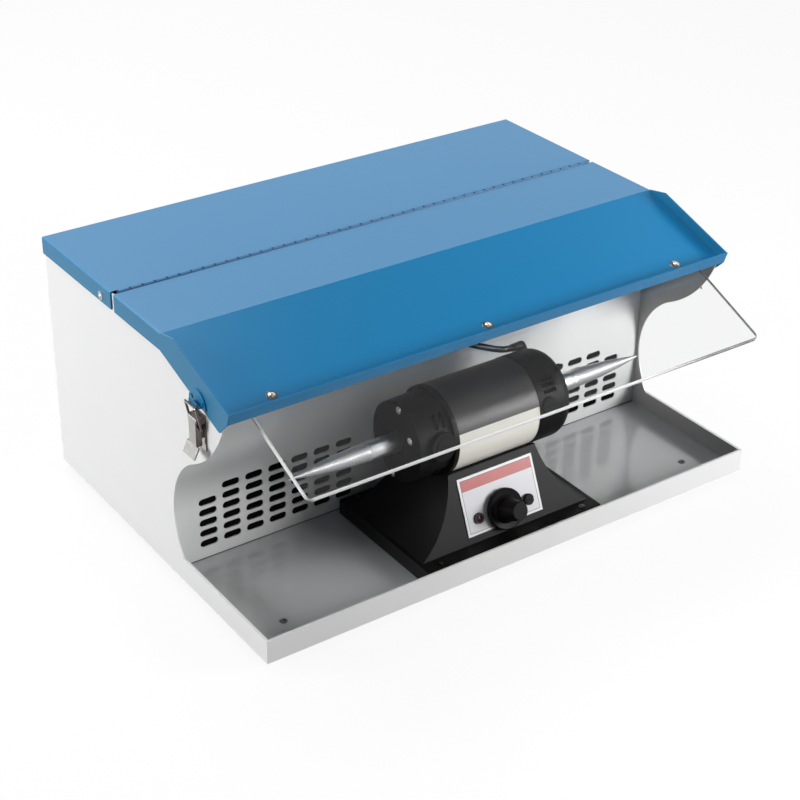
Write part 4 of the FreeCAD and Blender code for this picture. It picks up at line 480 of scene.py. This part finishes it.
def surface(name, points, loop_across=False, caps=(False, False), smooth=True):
    """A mesh over a grid of points, closed round its rows on demand, with flat caps on its end rows."""
    rows, columns = points.shape[:2]
    across_count = columns if loop_across else columns - 1
    row, column = np.meshgrid(np.arange(rows - 1), np.arange(across_count), indexing="ij")
    next_row = row + 1
    next_column = (column + 1) % columns
    quads = np.stack([row * columns + column, row * columns + next_column,
                      next_row * columns + next_column, next_row * columns + column], axis=-1).reshape(-1, 4)
    faces = quads.tolist()
    if caps[0]:
        faces.append(list(range(columns))[::-1])
    if caps[1]:
        faces.append([(rows - 1) * columns + index for index in range(columns)])
    mesh = bpy.data.meshes.new(name)
    mesh.from_pydata(points.reshape(-1, 3).tolist(), [], faces)
    mesh.polygons.foreach_set("use_smooth", np.full(len(faces), smooth))
    mesh.update()
    made = bpy.data.objects.new(name, mesh)
    bpy.context.scene.collection.objects.link(made)
    return made


def rounded_edge():
    """Outline of the sheet, with two arcs of a quarter turn at its lower corners."""
    quarter = np.linspace(0.0, math.pi / 2, CORNER_STEPS)
    centre_x = SHIELD_HALF - SHIELD_CORNER
    centre_y = SHIELD_CORNER - SHIELD_LENGTH
    cosine = SHIELD_CORNER * np.cos(quarter)
    sine = SHIELD_CORNER * np.sin(quarter)
    left = np.stack([-centre_x - cosine, centre_y - sine], -1)
    right = np.stack([centre_x + sine, centre_y - cosine], -1)
    return np.concatenate([[[-SHIELD_HALF, 0.0]], left, right, [[SHIELD_HALF, 0.0]]])


def clear_sheet():
    """The sheet between its faces, cut to its outline and drilled for its screws, with its edges eased."""
    edge = rounded_edge()
    loop = np.concatenate([edge, np.zeros((len(edge), 1))], axis=1)
    levels = np.stack([loop + (0, 0, depth) for depth in (-SHIELD_THICK, 0.0)])
    sheet = surface("acrylic_sheet", to_shield(levels), loop_across=True, caps=(True, True), smooth=False)
    circle = np.linspace(0.0, 2 * math.pi, HOLE_STEPS, endpoint=False)
    for place in SHIELD_SCREWS:
        rim = np.stack([place + SHIELD_HOLE * np.cos(circle), SHIELD_HOLE_Y + SHIELD_HOLE * np.sin(circle),
                        np.zeros(HOLE_STEPS)], axis=-1)
        ends = np.stack([rim + (0, 0, -2 * SHIELD_THICK), rim + (0, 0, SHIELD_THICK)])
        plug = surface("drill", to_shield(ends), loop_across=True, caps=(True, True), smooth=False)
        hole = sheet.modifiers.new("hole", "BOOLEAN")
        hole.operation = "DIFFERENCE"
        hole.object = plug
        bpy.context.view_layer.objects.active = sheet
        bpy.ops.object.modifier_apply(modifier="hole")
        bpy.data.objects.remove(plug)
    ease = sheet.modifiers.new("eased_edge", "BEVEL")
    ease.width = SHIELD_BEVEL
    ease.segments = 1
    ease.limit_method = "ANGLE"
    bpy.ops.object.modifier_apply(modifier="eased_edge")
    return sheet


shield = clear_sheet()
acrylic = Paint("clear_acrylic", Roughness=0.02, IOR=1.49, Transmission_Weight=1.0)
shield_normal = (0.0, -math.sin(SHIELD_TILT), math.cos(SHIELD_TILT))
down_sheet = (0.0, -math.cos(SHIELD_TILT), -math.sin(SHIELD_TILT))
lowest = float(np.dot(to_shield(np.array([0.0, -SHIELD_LENGTH, 0.0])), down_sheet))
to_border = (SHIELD_HALF - abs(acrylic.part("x"))).least(lowest - acrylic.along(down_sheet))
cut_edge = abs(acrylic.facing(shield_normal)).below(EDGE_FACING)
edge_mask = cut_edge.most(to_border.below(SHIELD_GLOW))
# Painted highlight: the cut edges get a whiter colour and a pale layer on top.
acrylic.put(
    Base_Color=acrylic.mixed(edge_mask, (0.985, 0.99, 0.99, 1.0), (0.93, 0.95, 0.96, 1.0)),
    Roughness=0.02 + edge_mask * 0.25)
# Painted dark reflection on the edges towards the right end.
right_end_reflection = ((acrylic.part("x") - EDGE_DARK_FROM) / EDGE_DARK_OVER).most(0.0).least(1.0)
edge_highlight_tone = acrylic.mixed(right_end_reflection, (0.95, 0.955, 0.96, 1.0), (0.15, 0.155, 0.155, 1.0))
polished = acrylic.node("ShaderNodeBsdfPrincipled", sockets={"Base Color": edge_highlight_tone, "Roughness": 0.2})
layers = acrylic.node("ShaderNodeMixShader", sockets={
    0: edge_mask * EDGE_SHARE, 1: Value(acrylic, acrylic.shader.outputs[0]), 2: polished})
acrylic.tree.links.new(layers.socket, acrylic.output.inputs["Surface"])
shield.data.materials.append(acrylic.material)
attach(shield, "lid")
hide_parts("acrylic_shield")

# Draw latches on the side panels: a base with two ears, a lever with a bent finger tab, and a wire bail.
# All are pressed or bent from steel and nickel plated: bright on their flats, with a painted dark reflection
# on edges and bends.
FLAT_FACING = 0.86
chrome = Paint("latch_chrome", Metallic=1.0, Roughness=0.1)
# Painted dark reflection on the faces turned away from the side.
dark_reflection = abs(chrome.facing((1.0, 0.0, 0.0))).below(FLAT_FACING)
chrome.put(
    Base_Color=chrome.mixed(
        dark_reflection, chrome.mixed(chrome.noise(0.005), (0.86, 0.84, 0.81, 1.0), (0.72, 0.69, 0.66, 1.0)),
        (0.15, 0.13, 0.12, 1.0)),
    Roughness=0.08 + chrome.noise(0.0015) * 0.12)
dress(chrome, "latch_bases", "left_latch_lever", "right_latch_lever", "left_latch_bail", "right_latch_bail")

# Motor pedestal: a black cast base with a flared body that cradles the motor, and its bottom plate.
# The casting has a fine sand texture under a satin black coat.
JET = (0.003, 0.003, 0.0032, 1.0)
JET_CLOUD = (0.006, 0.006, 0.0063, 1.0)
cast = Paint("black_casting", Roughness=0.42, Specular_IOR_Level=0.16)
cast.put(
    Base_Color=cast.mixed(cast.noise(0.02, detail=3.0), JET, JET_CLOUD),
    Roughness=0.36 + cast.noise(0.002) * 0.16)
cast.bump(cast.noise(0.0008, detail=3.0), 0.000003)
dress(cast, "motor_pedestal", "pedestal_bottom_plate")

# Motor shell: a rolled steel tube in cream enamel, with a black film wrapped over its upper half.
# The film is plain, with a satin gloss and thin edges.
enamel = Paint("cream_enamel", Roughness=0.25)
enamel.put(Base_Color=enamel.mixed(enamel.noise(0.03), shade(226, 225, 217), shade(221, 219, 209)))
enamel.bump(enamel.noise(0.0014), 0.000004)
dress(enamel, "motor_shell")

film = Paint("black_film", Roughness=0.38, Specular_IOR_Level=0.35)
film.put(
    Base_Color=film.mixed(film.noise(0.02), (0.026, 0.026, 0.027, 1.0), (0.032, 0.032, 0.033, 1.0)),
    Roughness=0.34 + film.noise(0.004) * 0.05)
dress(film, "rating_plate")

# End bells: black moulded caps with vents, brush holders and bosses for the screws.
# They are glass-filled plastic with a dull, finely sparked surface.
moulding = Paint("bell_moulding", Roughness=0.5, Specular_IOR_Level=0.1)
moulding.put(
    Base_Color=moulding.mixed(moulding.noise(0.012), (0.0035, 0.0035, 0.0037, 1.0), JET_CLOUD),
    Roughness=0.42 + moulding.noise(0.003) * 0.06)
moulding.bump(moulding.noise(0.0006, detail=3.0), 0.0000012)
dress(moulding, "left_end_bell", "right_end_bell", "brush_caps", "inlet_and_switch_housing", "switch_rocker",
      "fan_housing", "suction_impeller", "potentiometer", "fuse_holder")

# Inside the motor: stator, field coils, armature, commutator, fan and brushes.
# The cores are stacked sheet steel in varnish, the windings enamelled copper, the brushes pressed carbon.
core = Paint("core_sheets", Metallic=0.4, Roughness=0.6)
sheets = core.node("ShaderNodeTexWave", {"bands_direction": "X"}, {
    "Vector": core.place(), "Scale": 320.0, "Distortion": 0.0}, out="Fac")
core.put(Base_Color=core.mixed(sheets, (0.03, 0.03, 0.032, 1.0), (0.09, 0.09, 0.092, 1.0)))
dress(core, "stator_core", "armature_core")
copper = Paint("winding_copper", Metallic=0.8, Roughness=0.35)
turns = copper.node("ShaderNodeTexWave", {"bands_direction": "DIAGONAL"}, {
    "Vector": copper.place(), "Scale": 220.0, "Distortion": 1.5}, out="Fac")
copper.put(Base_Color=copper.mixed(turns, (0.07, 0.028, 0.014, 1.0), (0.20, 0.08, 0.035, 1.0)))
dress(copper, "field_coils", "armature_windings", "commutator")
carbon = Paint("brush_carbon", Roughness=0.6)
carbon.put(Base_Color=carbon.mixed(carbon.noise(0.001), (0.03, 0.03, 0.03, 1.0), (0.07, 0.07, 0.07, 1.0)))
dress(carbon, "carbon_brushes", "cooling_fan")

# Tapered spindles on both ends of the rotor: a plain neck and a long cone cut with a fine thread.
# Polishing wheels are screwed on by their leather centres. They are turned from steel and zinc plated; dark
# rings at the thread's pitch are painted shade.
AXIS_Y = -0.09831424
AXIS_Z = 0.117
NECK_RADIUS = 0.0088
NECK_STEP = 0.0003
NECK_LENGTH = 0.0332
TIP_X = 0.1933
TIP_RADIUS = 0.0006
TAPER_ARC = 0.45
HUB_RADIUS = 0.0075
HUB_LENGTH = 0.0015
THREAD_PITCH = 0.0014
THREAD_DEPTH = 0.00028
THREAD_ROWS = 8
STEPS_ROUND = 40
EASE = 0.0003
RUN_IN = 14
RUN_OUT = 7
WAVE_BANDS = 20
THREADED_FROM = 0.1137
SPINDLES = (("left", -1, 0.0805), ("right", 1, 0.079))


def taper(name, root_x, side):
    """Radius falls from neck to tip along a flat arc, less a rounded groove that winds round it.

    The arc's rise over its chord is half the product of the distances from its two ends, over its radius.
    """
    thread_start = root_x + NECK_LENGTH
    thread_rows = int((TIP_X - TIP_RADIUS - thread_start) / THREAD_PITCH * THREAD_ROWS)
    x = np.linspace(thread_start, TIP_X - TIP_RADIUS, thread_rows)
    angle = np.linspace(0.0, 2 * math.pi, STEPS_ROUND, endpoint=False)
    share = (x - thread_start) / (x[-1] - thread_start)
    rise = (x - thread_start) * (x[-1] - x) / (2 * TAPER_ARC)
    cone = (NECK_RADIUS - NECK_STEP) * (1 - share) + TIP_RADIUS * share + rise
    phase = (x[:, None] / THREAD_PITCH - angle[None, :] / (2 * math.pi)) * 2 * math.pi
    groove = THREAD_DEPTH * (0.5 - 0.5 * np.cos(phase))
    fade = np.clip(np.minimum(share * RUN_IN, (1 - share) * RUN_OUT), 0.0, 1.0)
    radius = cone[:, None] - groove * fade[:, None]
    collar = root_x + HUB_LENGTH
    neck_x = np.array([root_x, root_x, collar, collar, collar + EASE, thread_start - EASE,
                       thread_start, thread_start])
    neck_radius = np.array([0.004, HUB_RADIUS, HUB_RADIUS, NECK_RADIUS - EASE, NECK_RADIUS, NECK_RADIUS,
                            NECK_RADIUS - 0.0002, NECK_RADIUS - NECK_STEP])
    tip_x = np.array([TIP_X - EASE, TIP_X])
    tip_radius = np.array([0.0005, 0.00005])
    all_x = np.concatenate([neck_x, x, tip_x])
    plain = np.ones((1, STEPS_ROUND))
    all_radius = np.concatenate([neck_radius[:, None] * plain, radius, tip_radius[:, None] * plain])
    points = np.stack([
        side * all_x[:, None] * plain,
        AXIS_Y + all_radius * np.cos(angle),
        AXIS_Z + side * all_radius * np.sin(angle)], axis=-1)
    return surface(name, points, loop_across=True, caps=(True, True))


zinc = Paint("zinc_plate", Metallic=1.0, Roughness=0.34)
# Painted shade: dark rings along the threaded part at the thread's pitch.
winding = zinc.node("ShaderNodeTexWave", {"bands_direction": "X"}, {
    "Vector": zinc.place(), "Scale": 2 * math.pi / WAVE_BANDS / THREAD_PITCH, "Distortion": 0.0}, out="Fac")
threaded = abs(zinc.part("x")).above(THREADED_FROM)
zinc_tone = zinc.mixed(zinc.noise(0.004), (0.68, 0.70, 0.72, 1.0), (0.78, 0.79, 0.80, 1.0))
zinc.put(
    Base_Color=zinc.mixed(winding * threaded * 0.6, zinc_tone, (0.26, 0.27, 0.28, 1.0)),
    Metallic=1.0 - threaded * 0.35,
    Roughness=0.3 + zinc.noise(0.0008) * 0.12)
for side_name, side_way, root in SPINDLES:
    spindle = taper(f"{side_name}_threaded_taper", root, side_way)
    spindle.data.materials.append(zinc.material)
    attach(spindle, "rotor")
    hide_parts(f"{side_name}_tapered_spindle")

# Control plate on the pedestal's sloping face: a thin printed sheet with a border line and a red band.
# It is printed on a white ground and glued on. The face's place is written in millimetres, as the casting is
# drawn, and the plate's half sizes in metres.
FACE_RISE = 61.0
FACE_RUN = 26.0
FACE_TILT = math.atan2(FACE_RISE, FACE_RUN)
FEET_HEIGHT = 8.0
FACE_START = (24.0 + TRAY_FRONT * 1000, 17.0 + FEET_HEIGHT)
PLATE_LOW = 6.5
PLATE_HIGH = 59.8
PLATE_MIDDLE = (PLATE_LOW + PLATE_HIGH) / 2
PLATE_HALF = (0.0415, (PLATE_HIGH - PLATE_LOW) / 2000)
BORDER_INSET = 0.0022
BORDER_WIDTH = 0.0005
BAND_DEPTH = 0.0125
plate_paint = Paint("printed_plate", Roughness=0.3)
up_face = (0.0, math.cos(FACE_TILT), math.sin(FACE_TILT))
face_foot = FACE_START[0] * up_face[1] + FACE_START[1] * up_face[2]
middle_height = (face_foot + PLATE_MIDDLE) / 1000
plate_x = abs(plate_paint.part("x"))
plate_up = plate_paint.along(up_face) - middle_height
inset = (PLATE_HALF[0] - plate_x).least(PLATE_HALF[1] - abs(plate_up))
inside = inset.above(BORDER_INSET)
line = inside * inset.below(BORDER_INSET + BORDER_WIDTH)
band = inset.above(BORDER_INSET + BORDER_WIDTH) * plate_up.above(PLATE_HALF[1] - BAND_DEPTH)
ground = plate_paint.mixed(inside, shade(222, 222, 223), shade(204, 204, 208))
lined = plate_paint.mixed(line, ground, shade(96, 96, 102))
plate_paint.put(Base_Color=plate_paint.mixed(band, lined, shade(172, 84, 82)))
plate_paint.bump(plate_paint.noise(0.0012), 0.00001)
dress(plate_paint, "control_plate")

# Indicator lamp and fuse holder beside the knob.
# The lamp is a small dark red lens in a black bezel; the fuse holder has a slotted black cap.
LAMP_X = -0.0275
ROW = 20.6
LENS_RADIUS = 0.0029
lamp_paint = Paint("lamp_lens", Roughness=0.3, Specular_IOR_Level=0.25)
row_height = (face_foot + ROW) / 1000
off_x = lamp_paint.part("x") - LAMP_X
off_up = lamp_paint.along(up_face) - row_height
from_middle = off_x * off_x + off_up * off_up
lens_mask = from_middle.below(LENS_RADIUS ** 2)
lamp_paint.put(
    Base_Color=lamp_paint.mixed(lens_mask, (0.006, 0.006, 0.006, 1.0), (0.060, 0.006, 0.007, 1.0)),
    Roughness=0.5 - lens_mask * 0.35)
dress(lamp_paint, "indicator_lamp")

# Speed knob: a tall turned grip on a wide dished skirt.
# It is moulded in one matte black plastic, with a finely sparked surface.
knob_paint = Paint("knob_plastic", Roughness=0.45, Specular_IOR_Level=0.09)
knob_paint.put(
    Base_Color=knob_paint.mixed(knob_paint.noise(0.004), JET, JET_CLOUD),
    Roughness=0.4 + knob_paint.noise(0.0007) * 0.15)
knob_paint.bump(knob_paint.noise(0.0005), 0.0000015)
dress(knob_paint, "speed_knob")

# Speed control board inside the pedestal.
# Its green solder mask is paler over the tracks.
board_paint = Paint("board_mask", Roughness=0.3)
tracks = board_paint.ramp(board_paint.noise(0.004, detail=1.0), [(0.49, 0.0), (0.52, 1.0)])
board_paint.put(Base_Color=board_paint.mixed(tracks, (0.012, 0.11, 0.045, 1.0), (0.02, 0.2, 0.08, 1.0)))
dress(board_paint, "speed_control_board")

# Motor lead with its rubber bush in the baffle and its elbow boot on the right end bell.
# It is a round rubber cord; the boot is moulded on its end.
cord_rubber = Paint("lead_rubber", Roughness=0.4, Specular_IOR_Level=0.35)
cord_rubber.put(
    Base_Color=cord_rubber.mixed(
        cord_rubber.noise(0.006), (0.014, 0.014, 0.015, 1.0), (0.022, 0.022, 0.023, 1.0)),
    Roughness=0.34 + cord_rubber.noise(0.001) * 0.14)
cord_rubber.bump(cord_rubber.noise(0.0009), 0.000002)
dress(cord_rubber, "motor_lead", "lead_grommets")

# Fan guard on the rear wall: welded wire rings and bars.
# It has the same nickel plate as the screws.
dress(nickel, "fan_guard")

# Filter mat behind the baffle: a soft block of needled fibre that stands on the tray.
# Its faces are slightly uneven and its edges rounded where the mat was cut.
MAT_HALF = 0.248
MAT_FRONT = -0.02211424
MAT_DEPTH = 0.012
MAT_LOW = 0.0104
MAT_HEIGHT = 0.110
MAT_ROUND = 0.0035
MAT_COLUMNS = 160
MAT_STEPS = 96
CORNER_POWER = 0.22
END_SHRINK = 0.72
WAVE_SHARE = 0.03


def fibre_mat():
    """A rounded block: each section across it is a rounded rectangle, let in by slow waves."""
    between = np.linspace(-MAT_HALF + MAT_ROUND, MAT_HALF - MAT_ROUND, MAT_COLUMNS)
    along_x = np.concatenate([[-MAT_HALF], between, [MAT_HALF]])
    turn_round = np.linspace(0.0, 2 * math.pi, MAT_STEPS, endpoint=False)
    across_mat = np.sign(np.cos(turn_round)) * np.abs(np.cos(turn_round)) ** CORNER_POWER
    up_mat = np.sign(np.sin(turn_round)) * np.abs(np.sin(turn_round)) ** CORNER_POWER
    ends = np.ones(len(along_x))
    ends[0] = ends[-1] = END_SHRINK
    column = along_x[:, None]
    waves = np.sin(column * 61.0 + 2.3 * up_mat) * np.sin(column * 23.0 + 1.0)
    wave = 1 - WAVE_SHARE * (1 + waves)
    y = MAT_FRONT + MAT_DEPTH / 2 * (1 + across_mat * ends[:, None] * wave)
    z = MAT_LOW + MAT_HEIGHT / 2 * (1 + up_mat * (1 - (1 - ends[:, None]) * 0.06))
    x = np.broadcast_to(column, y.shape)
    return surface("filter_mat", np.stack([x, y, z], axis=-1)[::-1], loop_across=True, caps=(True, True))


mat = fibre_mat()
felt = Paint("filter_felt", Roughness=0.95, Specular_IOR_Level=0.03)
fibres = felt.noise(0.0016, detail=6.0, rough=0.7)
felt.put(Base_Color=felt.mixed(fibres, (0.001, 0.001, 0.001, 1.0), (0.004, 0.004, 0.004, 1.0)))
felt.bump(fibres, 0.0006)
mat.data.materials.append(felt.material)
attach(mat, "cabinet")
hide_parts("filter_pad")
